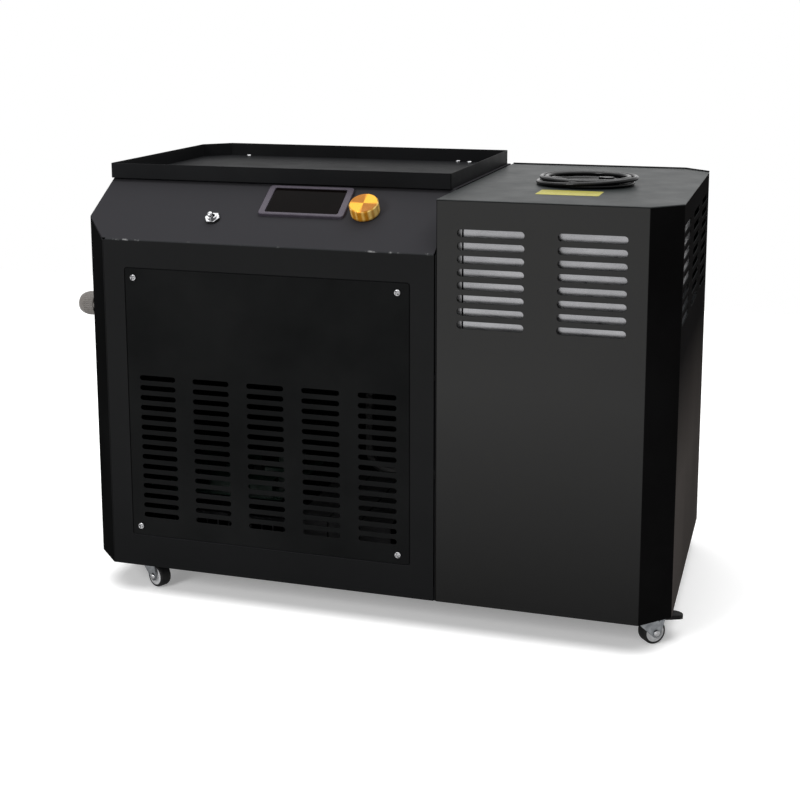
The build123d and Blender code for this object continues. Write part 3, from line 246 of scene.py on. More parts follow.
def gold_anodised():
    """Turned, gold anodised aluminium with painted light: four fans of painted highlight on its face, painted
    highlight bands down its side and painted shade at its foot.
    """
    coat = Coat("gold_anodised")
    x, y, z = coat.split(coat.place)
    around = coat.math("ARCTAN2", y, x)

    def wave(count, phase=0.0):
        return coat.math("SINE", coat.math("MULTIPLY_ADD", around, count, phase))

    # Painted highlights by the angle round the knob: fans on the face, bands down the side.
    fans = coat.spread(wave(2.0), -0.28, 0.28)
    bands = coat.spread(coat.math("ADD", wave(13.0, 0.9), wave(2.0, 1.9)), -0.9, 1.0)
    on_face = coat.spread(coat.split(coat.facing)[2], 0.6, 0.8)
    face = coat.mix(fans, (0.14, 0.05, 0.004), (0.37, 0.18, 0.016))
    side = coat.mix(bands, (0.55, 0.22, 0.012), (1.0, 0.7, 0.22))
    colour = coat.mix(on_face, side, face)
    # Painted shade on the side's lowest few mm, at the knob's foot.
    foot = coat.spread(z, 0.6 * MM, 3.6 * MM, 0.75, 0.0)
    foot = coat.math("MULTIPLY", foot, coat.math("SUBTRACT", 1.0, on_face))
    colour = coat.mix(foot, colour, (0.09, 0.03, 0.004))
    tone = coat.spread(coat.noise(90, 3.0), 0.35, 0.75, 0.0, 0.12)
    turning = {"wave_type": "RINGS", "rings_direction": "Z", "wave_profile": "SIN"}
    rings = coat.node("ShaderNodeTexWave", "Fac", {"Vector": coat.place, "Scale": 900}, **turning)
    coat.shade(
        Base_Color=coat.mix(tone, colour, (0.45, 0.2, 0.04)),
        Roughness=coat.spread(coat.noise(200), 0.3, 0.7, 0.24, 0.34),
        Normal=coat.bump(rings, 0.006),
        Metallic=coat.spread(on_face, 0.0, 1.0, 0.1, 0.97),
        Specular_IOR_Level=0.2,
    )


def coat_with_painted_light(name, shaded_chamfers, front_shade_low, front_light_high, up, side_reflection_low, side_reflection_high, worn_fold=False):
    """Satin black coat with painted light and shade: front and back faces lighter towards the top, upward faces
    lighter, slanted corner chamfers in painted shade, and side faces with a streaky painted reflection, stronger
    low down.
    """
    coat = Coat(name)
    facing_x, facing_y, facing_z = coat.split(coat.facing)
    _, y, z = coat.split(coat.place)
    # Masks of front and back, upward and side faces, which get the painted light below.
    front = coat.spread(coat.math("ABSOLUTE", facing_y), 0.82, 0.97)
    upward = coat.spread(facing_z, 0.5, 0.8)
    side = coat.spread(coat.math("ABSOLUTE", facing_x), 0.8, 0.97)
    reflection_streaks = coat.spread(coat.noise(6, 2, 0.4, (1, 1, 0.3)), 0.3, 0.7, 0.7, 1.0)
    # Front and back faces: painted light, darker low down and lighter towards the top; slanted faces such as the
    # corner chamfers get painted shade.
    colour = coat.mix(front, shaded_chamfers, coat.mix(coat.spread(z, 0.05, 0.32), front_shade_low, front_light_high))
    # Upward faces: painted light from above.
    colour = coat.mix(upward, colour, up)
    # Side faces: streaky painted reflection, strong low down and dark higher up.
    low_reflection = coat.math("MULTIPLY", reflection_streaks, coat.spread(z, 0.37, 0.2))
    colour = coat.mix(side, colour, coat.mix(low_reflection, side_reflection_high, side_reflection_low))
    patches = coat.spread(coat.noise(5, 5.0), 0.3, 0.72, 0.0, 0.16)
    colour = coat.mix(patches, colour, (0.02, 0.02, 0.021))
    if worn_fold:
        from_y = coat.math("ABSOLUTE", coat.math("SUBTRACT", y, front_y))
        from_z = coat.math("ABSOLUTE", coat.math("SUBTRACT", z, fold_z))
        rubbed = coat.spread(coat.math("ADD", from_y, from_z), 1.9 * MM, 0.7 * MM)
        chipped = coat.spread(coat.noise(70, 4, 0.7), 0.59, 0.66)
        colour = coat.mix(rubbed, colour, (0.03, 0.031, 0.033))
        colour = coat.mix(coat.math("MULTIPLY", rubbed, chipped), colour, (0.2, 0.2, 0.2))
    coat.shade(
        Base_Color=colour,
        Roughness=coat.spread(coat.noise(20, 4.0), 0.3, 0.7, 0.42, 0.54),
        Normal=coat.bump(coat.noise(1100, 2.0), 0.035),
        # No shine of its own: its sheen is painted into the colour above.
        Specular_IOR_Level=0.0,
    )


painted_surfaces()
bare_metals()
gold_anodised()
# Cabinet coats: their colours are painted light, shade and reflection, set by facing and height.
coat_with_painted_light(
    "chiller_coat",
    shaded_chamfers=(0.0024, 0.0023, 0.0023), up=(0.0265, 0.0275, 0.0278),
    front_shade_low=(0.0132, 0.0132, 0.013), front_light_high=(0.0312, 0.0312, 0.0307),
    side_reflection_low=(0.066, 0.059, 0.055), side_reflection_high=(0.009, 0.0085, 0.0085),
)
coat_with_painted_light(
    "furnace_coat",
    shaded_chamfers=(0.0025, 0.0026, 0.0026), up=(0.0303, 0.0299, 0.0328),
    front_shade_low=(0.0082, 0.0084, 0.0087), front_light_high=(0.0116, 0.0118, 0.012),
    side_reflection_low=(0.013, 0.013, 0.013), side_reflection_high=(0.0085, 0.0085, 0.0085),
    worn_fold=True,
)

for entry in frame["record"]["subparts"]:
    for slot in frame["nodes"][entry["node"]].material_slots:
        slot.material = materials[entry["material_slot"]]

# ---- building pieces


def scene_object(name, data):
    obj = bpy.data.objects.new(name, data)
    bpy.context.scene.collection.objects.link(obj)
    return obj


def piece(name, material, mesh, place=None, replaced=(), body="cabinet"):
    """Put a mesh in the scene as a piece on a body, with its material in its slot."""
    mesh.name = name
    obj = scene_object(name, mesh)
    if place is not None:
        obj.matrix_world = place
    mesh.materials.append(materials[material])
    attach(obj, body)
    if replaced:
        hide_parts(*replaced)
    return obj


def flat_piece(name, material, mesh, place=None, replaced=()):
    """Piece of the cabinet whose normals keep its large flat faces flat."""
    obj = piece(name, material, mesh, place, replaced)
    obj.modifiers.new("weighted", "WEIGHTED_NORMAL").keep_sharp = True


def mesh_of(build, sharp):
    """Mesh filled by a function that gets an empty bmesh, smooth but for edges over an angle."""
    mesh = bpy.data.meshes.new("mesh")
    bm = bmesh.new()
    build(bm)
    bmesh.ops.recalc_face_normals(bm, faces=bm.faces)
    bm.to_mesh(mesh)
    bm.free()
    mesh.shade_smooth()
    mesh.set_sharp_from_angle(angle=radians(sharp))
    return mesh


def in_mm(points, base=0.0):
    """Radius and height points given in mm above a base."""
    return [(radius * MM, base + height * MM) for radius, height in points]


def left_of(direction):
    return Vector((-direction.y, direction.x))


def lifted(points, height):
    """Flat points lifted to a height."""
    return [(point[0], point[1], height) for point in points]


def arc(centre, radius, start, end, steps):
    """Points on an arc, angles in degrees, both ends included."""
    points = []
    for step in range(steps + 1):
        angle = radians(start + (end - start) * step / steps)
        points.append(Vector((centre[0] + radius * cos(angle), centre[1] + radius * sin(angle))))
    return points


def circle(radius, centre=(0, 0), steps=64):
    """Points round a circle, anticlockwise."""
    return arc(centre, radius, 0, 360, steps)[:-1]


def hexagon_rings(radius, steps):
    """Hexagons with six points to each side, one for each share of the radius and height in mm."""
    rings = []
    for scale, up in steps:
        corners = circle(radius * scale, steps=6)
        sides = zip(corners, [*corners[1:], corners[0]])
        points = [first.lerp(second, along / 6) for first, second in sides for along in range(6)]
        rings.append(lifted(points, up * MM))
    return rings


def rounded(width, height, radius, centre=(0, 0), steps=5):
    """Rectangle with rounded corners, anticlockwise."""
    right, up = width / 2 - radius, height / 2 - radius
    points = []
    for side_x, side_y, start in ((1, 1, 0), (-1, 1, 90), (-1, -1, 180), (1, -1, 270)):
        middle = (centre[0] + side_x * right, centre[1] + side_y * up)
        points += arc(middle, radius, start, start + 90, steps)
    return points


def rows_middle(slots):
    """Middle height of rows of slots."""
    return base_z + (slots["lowest"] + (slots["rows"] - 1) * slots["pitch_z"] / 2) * MM


def slot_holes(middle, slots):
    """Round-ended ventilation slots in a grid."""
    length, height = slots["length"] * MM, slots["height"] * MM
    columns, rows = slots["columns"], slots["rows"]
    holes = []
    for column in range(columns):
        for row in range(rows):
            x = middle[0] + (column - (columns - 1) / 2) * slots["pitch_x"] * MM
            z = middle[1] + (row - (rows - 1) / 2) * slots["pitch_z"] * MM
            holes.append(rounded(length, height, height / 2 - 0.02 * MM, (x, z), 6))
    return holes


def drawn_in(points, distance):
    """Loop moved into the material on its left by a distance."""
    moved = []
    for index, point in enumerate(points):
        before = left_of((point - points[index - 1]).normalized())
        after = left_of((points[(index + 1) % len(points)] - point).normalized())
        inward = (before + after).normalized()
        moved.append(point + inward * distance / max(inward.dot(before), 0.4))
    return moved


def clean_loop(points):
    """Loop of vectors without points that lie on each other."""
    loop = []
    for point in map(Vector, points):
        if not loop or (point - loop[-1]).length > 1e-6:
            loop.append(point)
    if (loop[0] - loop[-1]).length < 1e-6:
        loop.pop()
    return loop


class Bends:
    """Path of straight runs joined by bends of one radius, which a sheet follows."""

    def __init__(self, corners, radius, steps=5):
        corners = [Vector(corner) for corner in corners]
        self.radius = radius
        self.runs = []  # distance at its start, length, first point, heading and turn of each
        self.marks = []  # distances at which a sheet is cut so that it can bend
        self.length = 0.0
        here = corners[0]
        for before, corner, after in zip(corners, corners[1:], [*corners[2:], None]):
            heading = (corner - before).normalized()
            onward = (after - corner).normalized() if after is not None else heading
            turn = atan2(heading.cross(onward), heading.dot(onward))
            setback = radius * tan(abs(turn) / 2)
            end = corner - heading * setback
            self.add_run((end - here).length, here, heading, 0.0)
            if turn:
                start, length = self.length, radius * abs(turn)
                self.marks += [start + length * step / steps for step in range(steps + 1)]
                self.add_run(length, end, heading, turn)
                here = corner + onward * setback

    def add_run(self, length, origin, heading, turn):
        self.runs.append((self.length, length, origin, heading, turn))
        self.length += length

    def at(self, distance):
        """Point and left-hand normal at a distance along the path."""
        for start, _, origin, heading, turn in reversed(self.runs):
            if distance >= start - 1e-9:
                break
        along = distance - start
        if turn == 0.0:
            return origin + heading * along, left_of(heading)
        side = copysign(1.0, turn)
        centre = origin + left_of(heading) * self.radius * side
        spin = Matrix.Rotation(side * along / self.radius, 2)
        return centre + spin @ (origin - centre), spin @ left_of(heading)

    def length_to(self, x, y):
        """Distance along the path of the place on its straight runs nearest to a point."""
        point = Vector((x, y))
        places = []
        for start, length, origin, heading, turn in self.runs:
            if not turn:
                along = min(max((point - origin).dot(heading), 0.0), length)
                places.append(((origin + heading * along - point).length, start + along))
        return min(places)[1]

    def standing(self, co):
        """Place of a sheet's point, for a sheet that stands on a plan path, outer face to the right."""
        point, left = self.at(co.x)
        return Vector((point.x - left.x * co.z, point.y - left.y * co.z, co.y))

    def rising(self, co):
        """Place of a sheet's point, for a sheet that runs up and back, outer face to the left."""
        point, left = self.at(co.y)
        return Vector((co.x, point.x + left.x * co.z, point.y + left.y * co.z))


def plate_mesh(outline, holes=(), thickness=sheet, edge=0.3 * MM, standing=None, rising=None):
    """Sheet cut to an outline with holes, its edges eased, then bent along the path given for it.

    It lies in x and y with its outer face at z = 0 and its inner face at z = -thickness.
    """
    steps = ((edge, 0.0), (0.0, -edge), (0.0, edge - thickness), (edge, -thickness))

    def build(bm):
        faces = [[], []]
        for loop in [clean_loop(outline)] + [clean_loop(reversed(hole)) for hole in holes]:
            rings = []
            for inset, height in steps:
                points = drawn_in(loop, inset) if inset else loop
                rings.append([bm.verts.new(point) for point in lifted(points, height)])
            for face, ring in zip(faces, (rings[0], rings[-1])):
                face += [bm.edges.new((ring[index - 1], vertex)) for index, vertex in enumerate(ring)]
            skin(bm, rings)
        for edges in faces:
            bmesh.ops.triangle_fill(bm, use_beauty=True, edges=edges, normal=(0, 0, 1))
        path = standing or rising
        if not path:
            return
        across = Vector((1, 0, 0)) if standing else Vector((0, 1, 0))
        for mark in path.marks:
            everything = bm.verts[:] + bm.edges[:] + bm.faces[:]
            bmesh.ops.bisect_plane(bm, geom=everything, dist=1e-7, plane_co=across * mark, plane_no=across)
        for vertex in bm.verts:
            vertex.co = path.standing(vertex.co) if standing else path.rising(vertex.co)

    return mesh_of(build, 60)


def skin(bm, rings):
    """Faces between rings of equal numbers of vertices."""
    for lower, upper in zip(rings, rings[1:]):
        for index in range(len(lower)):
            bm.faces.new((lower[index - 1], lower[index], upper[index], upper[index - 1]))


def lofted_mesh(rings, sharp=40.0, ends=True):
    """Skin over rings of equal numbers of points, each a list of (x, y, z)."""

    def build(bm):
        made = [[bm.verts.new(point) for point in ring] for ring in rings]
        skin(bm, made)
        if ends:
            bm.faces.new(made[0])
            bm.faces.new(made[-1])

    return mesh_of(build, sharp)


def turned_mesh(profile, steps=64, sharp=35.0, ribs=0, depth=0.0, ribbed=()):
    """Piece turned about z from (radius, height) points; the ribbed points carry flutes."""
    rings = []
    for index, (radius, height) in enumerate(profile):
        ring = []
        for step in range(steps):
            angle = 2 * pi * step / steps
            cut = depth * (0.5 - 0.5 * cos(ribs * angle)) if index in ribbed else 0.0
            ring.append(((radius - cut) * cos(angle), (radius - cut) * sin(angle), height))
        rings.append(ring)
    return lofted_mesh(rings, sharp, profile[0] != profile[-1])


def rounded_profile(points, radius, steps=4):
    """(radius, height) points with their corners rounded."""
    points = [Vector(point) for point in points]
    result = [points[0]]
    for before, corner, after in zip(points, points[1:], points[2:]):
        reach = min(radius, (corner - before).length * 0.45, (after - corner).length * 0.45)
        start = corner + (before - corner).normalized() * reach
        end = corner + (after - corner).normalized() * reach
        for share in (step / steps for step in range(steps + 1)):
            result.append(start * (1 - share) ** 2 + corner * 2 * share * (1 - share) + end * share**2)
    result.append(points[-1])
    return [tuple(point) for point in result]


def upright_bar(name, material, outline, low, high):
    """Straight piece with a plan outline, from one height to another."""
    mesh = lofted_mesh([lifted(outline, low), lifted(outline, high)], 30)
    piece(name, material, mesh)


def aimed(at, direction, roll=0.0):
    """Place with z along a direction."""
    turn = Vector(direction).to_track_quat("Z", "Y").to_matrix().to_4x4()
    return Matrix.Translation(at) @ turn @ Matrix.Rotation(roll, 4, "Z")


def facing_front(y):
    """Place of a plate whose outer face looks to the front at y."""
    return Matrix(((1, 0, 0, 0), (0, 0, -1, y), (0, 1, 0, 0), (0, 0, 0, 1)))


def facing_back(y):
    """Place of a plate whose outer face looks to the back at y; its x runs to the left."""
    return Matrix(((-1, 0, 0, 0), (0, 0, 1, y), (0, 1, 0, 0), (0, 0, 0, 1)))


def over_console(at, out=0.0):
    """Place on the console, at mm from the seam, up the slope and out of it."""
    console = Matrix.Translation((seam_x, front_y, fold_z)) @ Matrix.Rotation(slope, 4, "X")
    return console @ Matrix.Translation((-at[0] * MM, at[1] * MM, out * MM))


# ---- cabinets


def wall_strip(path, low, high):
    """Outline of a wall that follows a path."""
    return [(0, low), (path.length, low), (path.length, high), (0, high)]


def back_opening(path, left, right):
    """Opening behind a back cover, between two sides of a cabinet."""
    middle = (path.length_to((left + right) / 2, back_y), (base_z + top_z) / 2)
    return rounded(right - left - 2 * flange, top_z - base_z - 2 * flange, 4 * MM, middle)


def chiller_cabinet():
    """Wall of one folded sheet with slots, and the lid on it."""
    corners = (
        (seam_x, back_y), (seam_x, front_y),
        (right_x - corner_cut, front_y), (right_x, front_y + corner_cut),
        (right_x, back_y - corner_cut), (right_x - corner_cut, back_y),
        (seam_x, back_y),
    )
    path = Bends(corners, fold_radius)
    front_at = path.length_to(seam_x + front_slots_from_seam * MM, front_y)
    side_at = path.length_to(right_x, front_y + side_slots_from_front * MM)
    holes = slot_holes((front_at, rows_middle(front_slots)), front_slots)
    holes += slot_holes((side_at, rows_middle(side_slots)), side_slots)
    holes.append(back_opening(path, seam_x, right_x - corner_cut))
    mesh = plate_mesh(wall_strip(path, base_z, lid_low.z), holes, standing=path)
    flat_piece("chiller_wall", "chiller_coat", mesh, None, ["chiller_shell"])
    mesh = plate_mesh(corners[1:], edge=0.7 * MM)
    lift = Matrix.Translation((0, 0, top_z))
    flat_piece("chiller_lid_sheet", "lid_coat", mesh, lift, ["chiller_lid"])


def lid_lip():
    """Low lip of the back cover along the lid's back edge and its corner cut."""
    width = 1.6 * MM
    slant = width / sqrt(2)
    start_x = seam_x + 2 * MM
    outline = (
        (start_x, back_y - width),
        (right_x - corner_cut - width * tan(pi / 8), back_y - width),
        (right_x - slant, back_y - corner_cut - slant),
        (right_x, back_y - corner_cut), (right_x - corner_cut, back_y),
        (start_x, back_y),
    )
    upright_bar("lid_lip", "powder_coat", outline, top_z - 0.2 * MM, top_z + 1.7 * MM)


def tank_bracket():
    """Folded strip beside the tank, seen at the left ends of the front slots."""
    low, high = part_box("water_tank")
    front, fold, lip = low.y, low.x - 12 * MM, low.x - 2.2 * MM
    reach, end_gap = 22 * MM, 4 * MM
    outline = (
        (fold, front), (lip, front), (lip, front + sheet), (fold + sheet, front + sheet),
        (fold + sheet, front + reach), (fold, front + reach),
    )
    upright_bar("tank_bracket", "dull_zinc", outline, low.z + end_gap, high.z - end_gap)


def furnace_sides():
    """Left, back and corner walls of one sheet, cut along the console's slope, and the right wall."""
    corners = (
        (seam_x, back_y),
        (left_x + corner_cut, back_y), (left_x, back_y - corner_cut),
        (left_x, front_y + corner_cut), (left_x + corner_cut, front_y),
        (front_start_x, front_y),
    )
    path = Bends(corners, fold_radius)
    under = sheet / cos(slope)
    outline = [
        (0, base_z), (path.length, base_z),
        (path.length, fold_z - under), (path.length - 2 * MM, fold_z - under),
        (path.length_to(left_x, front_y + corner_cut), fold_z + corner_cut * tan(slope) - under),
        (path.length_to(left_x, front_y + console_run), top_z - sheet),
        (0, top_z - sheet),
    ]
    gland_hole = circle(12.3 * MM, (path.length_to(left_x, gland.y), gland.z), 32)
    holes = [back_opening(path, left_x + corner_cut, seam_x), gland_hole]
    mesh = plate_mesh(outline, holes, standing=path)
    flat_piece("furnace_sides", "furnace_coat", mesh, None, ["furnace_shell"])
    right_wall = [
        (front_y + sheet, base_z), (back_y - sheet, base_z),
        (back_y - sheet, top_z - sheet), (front_y + console_run, top_z - sheet),
        (front_y + sheet, fold_z - under),
    ]
    facing_right = Matrix(((0, 0, 1, seam_x), (1, 0, 0, 0), (0, 1, 0, 0), (0, 0, 0, 1)))
    flat_piece("furnace_right_wall", "powder_coat", plate_mesh(right_wall), facing_right)


def furnace_front():
    """Front, sloped console and deck of one sheet, folded twice, and the seat of the service panel."""
    profile = ((front_y, base_z), (front_y, fold_z), (front_y + console_run, top_z), (back_y, top_z))
    path = Bends(profile, 1.6 * MM)
    end_x = seam_x - 2.4 * MM  # a gap is left at the chiller
    notch = 3 * MM  # cut out at both ends of the fold line

    def on_slope(up):
        return path.length_to(front_y + up * cos(slope), fold_z + up * sin(slope))

    def console_point(at):
        return seam_x - at[0] * MM, on_slope(at[1] * MM)

    fold_at = (path.marks[0] + path.marks[5]) / 2  # middle of the lower bend
    below, above = fold_at - notch / 2, fold_at + notch / 2
    outline = [
        (front_start_x, 0), (end_x, 0),
        (end_x, below), (seam_x - notch, below), (seam_x - notch, above), (end_x, above),
        (end_x, path.length), (left_x + corner_cut, path.length),
        (left_x, path.length - corner_cut), (left_x, on_slope(corner_cut / cos(slope))),
        (left_x + corner_cut - 1 * MM, above),
        (front_start_x + notch, above), (front_start_x + notch, below), (front_start_x, below),
    ]
    door_gap, door_overlap, seat_width = 1.2 * MM, 12 * MM, 8 * MM
    door_opening = door_size + Vector((2, 2)) * door_gap
    holes = [
        rounded(*door_opening, 4.2 * MM, (door_middle.x, door_middle.y - base_z)),
        rounded(109 * MM, 55 * MM, 2 * MM, console_point(display_at)),
        circle(6.3 * MM, console_point(switch_at), 32),
        circle(4.8 * MM, console_point(knob_at), 32),
        circle(mouth_radius, (well.x, path.length_to(well.y, top_z)), 96),
    ]
    mesh = plate_mesh(outline, holes, rising=path)
    flat_piece("furnace_front", "furnace_coat", mesh)
    seat = rounded(*(door_size + Vector((2, 2)) * seat_width), 4 * MM, door_middle)
    window = rounded(*(door_size - Vector((2, 2)) * door_overlap), 4 * MM, door_middle)
    mesh = plate_mesh(seat, [window])
    flat_piece("panel_seat", "powder_coat", mesh, facing_front(front_y + sheet))


def service_panel():
    """Removable front panel with five columns of slots."""
    holes = slot_holes((door_middle.x, rows_middle(door_slots)), door_slots)
    mesh = plate_mesh(rounded(*door_size, 3 * MM, door_middle), holes, edge=0.35 * MM)
    flat_piece("slotted_panel", "panel_coat", mesh, facing_front(front_y), ["service_panel"])


def tray():
    """Tray with a folded wall, round the crucible's mouth."""
    cut = corner_cut + tray_high.y - back_y
    plan = [
        (tray_low.x, tray_low.y), (tray_high.x, tray_low.y), (tray_high.x, tray_high.y),
        (tray_low.x + cut, tray_high.y), (tray_low.x, tray_high.y - cut),
    ]
    joint = ((tray_low.x + tray_high.x) / 2, tray_high.y)  # where the wall's ends meet
    path = Bends([joint, *plan[3:], *plan[:3], joint], 2 * MM)
    mesh = plate_mesh(wall_strip(path, tray_low.z, tray_high.z), thickness=tray_sheet, standing=path)
    flat_piece("tray_wall", "powder_coat", mesh, None, ["tray"])
    inside = drawn_in([Vector(point) for point in plan], tray_sheet)
    mesh = plate_mesh(inside, [circle(mouth_radius, well.xy, 96)], thickness=tray_sheet)
    lift = Matrix.Translation((0, 0, tray_low.z + tray_sheet))
    flat_piece("tray_floor", "powder_coat", mesh, lift)


def screw_mesh(radius, height):
    """Pan head with a cross recess."""
    steps = 48
    reach, width, depth = radius * 0.62, radius * 0.17, height * 0.6
    profile = [(1.0, 0.0), (1.0, 0.45)]  # shares of the radius and the height
    for angle in (radians(18 * step) for step in range(1, 5)):
        profile.append((0.72 + 0.28 * cos(angle), 0.45 + 0.55 * sin(angle)))
    profile += [(share, 1.0) for share in (0.7, 0.58, 0.46, 0.34, 0.24, 0.17, 0.1)]
    rings = []
    for out, up in profile:
        ring = []
        for angle in (2 * pi * step / steps for step in range(steps)):
            x, y = radius * out * cos(angle), radius * out * sin(angle)
            in_cross = radius * out < reach and min(abs(x), abs(y)) < width
            ring.append((x, y, height * up - (depth if in_cross else 0.0)))
        rings.append(ring)
    return lofted_mesh(rings, 30)


def screw(name, at, direction):
    """Small pan-head screw standing on a face, turned at random."""
    place = aimed(at, direction, random.uniform(0, pi))
    piece(name, "chrome", screw_mesh(4.3 * MM, 2.6 * MM), place)


def back_cover(node, fan_node):
    """Cover screwed over a back opening, with slots in front of its fan."""
    low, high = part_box(node)
    fan_low, fan_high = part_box(fan_node)
    middle = Vector((-(low.x + high.x) / 2, (low.z + high.z) / 2))
    fan_middle = (-(fan_low.x + fan_high.x) / 2, (fan_low.z + fan_high.z) / 2)
    outline = rounded(high.x - low.x, high.z - low.z, 3 * MM, middle)
    mesh = plate_mesh(outline, slot_holes(fan_middle, vent_slots))
    flat_piece(f"{node}_sheet", "powder_coat", mesh, facing_back(high.y), [node])
    inset = 6 * MM
    for x in (low.x + inset, high.x - inset):
        for z in (low.z + inset, middle.y, high.z - inset):
            screw(f"{node}_screw_{round(x / MM)}_{round(z / MM)}", (x, high.y, z), (0, 1, 0))


def front_and_tray_screws():
    """Screws at the service panel's corners and in the tray's floor, placed in mm."""
    for x in (seam_x - 414 * MM, seam_x - 49.5 * MM):
        for z in (base_z + 57.3 * MM, base_z + 401 * MM):
            screw(f"panel_screw_{round(x / MM)}_{round(z / MM)}", (x, front_y, z), (0, -1, 0))
    for from_seam, from_front in ((425, 422), (82, 427), (62, 418)):
        at = (seam_x - from_seam * MM, front_y + from_front * MM, tray_low.z + tray_sheet)
        screw(f"tray_screw_{from_seam}", at, (0, 0, 1))


chiller_cabinet()
lid_lip()
tank_bracket()
furnace_sides()
furnace_front()
service_panel()
tray()
back_cover("furnace_back_cover", "inverter_fan_frame")
back_cover("chiller_back_cover", "radiator_fan_frame")
front_and_tray_screws()

# ---- console fittings


def display():
    """Raised bezel with rounded edges round a smoked window."""
    outer, inner = (119, 60, 5), (101, 50, 2.5)  # width, height and corner radius, mm
    depth, outer_round, inner_round = 4.5, 1.4, 1.0
    rings = [(outer, 0.0, 0.0)]  # rectangle, how far it is drawn in, and its height
    for angle in (radians(90 * step / 4) for step in range(5)):
        height = depth - outer_round * (1 - sin(angle))
        rings.append((outer, outer_round * (1 - cos(angle)), height))
    for angle in (radians(90 * step / 3) for step in range(4)):
        height = depth - inner_round * (1 - cos(angle))
        rings.append((inner, inner_round * (sin(angle) - 1), height))
    rings += [(inner, 0.0, 0.5), (inner, 0.0, 0.0)]
    loops = []
    for (width, height, radius), inset, up in rings:
        size = (width - 2 * inset) * MM, (height - 2 * inset) * MM
        loops.append(lifted(rounded(*size, max(radius - inset, 0.4) * MM, steps=6), up * MM))
    mesh = lofted_mesh([*loops, loops[0]], 35, ends=False)
    flat_piece("bezel_frame", "bezel_plastic", mesh, over_console(display_at), ["display_bezel"])
    mesh = plate_mesh(rounded(100.6 * MM, 49.6 * MM, 2.2 * MM), thickness=2 * MM, edge=0.25 * MM)
    place = over_console(display_at, 3.5)
    flat_piece("smoked_window", "dark_window", mesh, place, ["display_window"])


def power_knob():
    """Finely fluted knob with a bright chamfer round its turned face."""
    radius, height = 19.25, 16
    profile = [(5.5, 5), (5.5, 0), (radius - 0.7, 0), (radius, 0.7)]
    profile += [(radius, up) for up in (1.4, height / 2, height - 2.2, height - 1.5)]
    profile += [(radius - 0.9, height - 0.3), (radius - 1.3, height), (radius - 4, height - 0.1)]
    profile += [(radius * 0.4, height - 0.25), (0.3, height - 0.3)]
    mesh = turned_mesh(in_mm(profile), 480, 30, ribs=96, depth=0.16 * MM, ribbed=(4, 5, 6))
    place = over_console(knob_at, 1)
    piece("power_knob_body", "gold_anodised", mesh, place, ["power_knob"], body="knob")


def power_switch():
    """Threaded bush, washer and hexagon nut of the toggle switch."""
    pitch, crest, root = 0.7, 6.0, 5.55
    threads = []
    for start in (0.3 + turn * pitch for turn in range(9)):
        threads += [(crest, start), (root, start + pitch / 2)]
    profile = [(4.4, 0), *threads, (5.2, 6.4), (4.5, 6.4), (4.4, 0)]
    mesh = turned_mesh(in_mm(profile), 48, 25)
    piece("switch_bush", "chrome", mesh, over_console(switch_at, -0.3))
    on_sheet = over_console(switch_at, 1)
    hole = circle(6.1 * MM, steps=48)
    # The washer is black so that it makes a dark ring round the nut's foot: painted shade.
    mesh = plate_mesh(circle(10 * MM), [hole], thickness=1 * MM, edge=0.2 * MM)
    flat_piece("switch_washer", "black_plastic", mesh, on_sheet)
    radius = 10.39 * MM
    rings = hexagon_rings(radius, ((0.93, 0.0), (1.0, 0.35), (1.0, 2.65), (0.93, 3.0)))
    for scale, up in ((0.61, 3.0), (0.58, 2.7), (0.58, 0.3), (0.61, 0.0)):
        rings.append(lifted(circle(radius * scale, steps=36), up * MM))
    mesh = lofted_mesh([*rings, rings[0]], 25, ends=False)
    piece("hexagon_nut", "chrome", mesh, on_sheet, ["switch_nut"])


def switch_lever():
    """Tapered lever with a rounded tip."""
    lean = slope + radians(12)
    place = Matrix.Translation(joints["power_switch_toggle"]["pos_m"]) @ Matrix.Rotation(lean, 4, "X")
    profile = [(3.9, 0), (3.4, 2), (1.9, 3.4), (2, 6), (3.7, 12.6)]
    for angle in map(radians, (0, 18, 36, 54, 70, 82)):
        profile.append((4.1 * cos(angle), 13.6 + 3.3 * sin(angle)))
    mesh = turned_mesh(rounded_profile(in_mm(profile), 0.6 * MM, 3), 40, 50)
    piece("toggle_lever", "chrome", mesh, place, ["switch_lever"], body="lever")


def cable_gland():
    """Domed nylon gland with a ribbed cap."""
    place = aimed((left_x, gland.y, gland.z), (-1, 0, 0))
    rings = hexagon_rings(17.3 * MM, ((0.94, 0.0), (1.0, 0.6), (1.0, 10.2), (0.95, 11.0)))
    mesh = lofted_mesh(rings, 25)
    piece("gland_hexagon", "grey_plastic", mesh, place, ["cable_gland"])
    profile = [(13.5, 11), (16.2, 11.2), (16.5, 12), (16.5, 24), (15.9, 26), (14.6, 30.5)]
    profile += [(12.4, 34.4), (9.4, 36.6), (6.4, 37), (5.6, 36.2), (5.4, 30)]
    cap = rounded_profile(in_mm(profile), 0.8 * MM, 3)
    ribbed = [index for index, (r, h) in enumerate(cap) if r > 15.8 * MM and 11.6 * MM < h < 25.5 * MM]
    mesh = turned_mesh(cap, 288, 35, ribs=36, depth=0.7 * MM, ribbed=ribbed)
    piece("gland_cap", "grey_plastic", mesh, place)


display()
power_knob()
power_switch()
switch_lever()
cable_gland()

# ---- mains cord, placed in mm from its coil's middle

cord_start = [(15, 18), (-2, 18), (-18, 11), (-30, -3), (-35, -19), (-31, -34), (-19, -45)]
cord_finish = [(14, -42.5), (25, -36)]
finish_heading = radians(31)
coil_start = atan2(-33, -32)
coil_turns = 6.2
points_a_turn = 16
oval = 1.045  # the coil's width over its depth

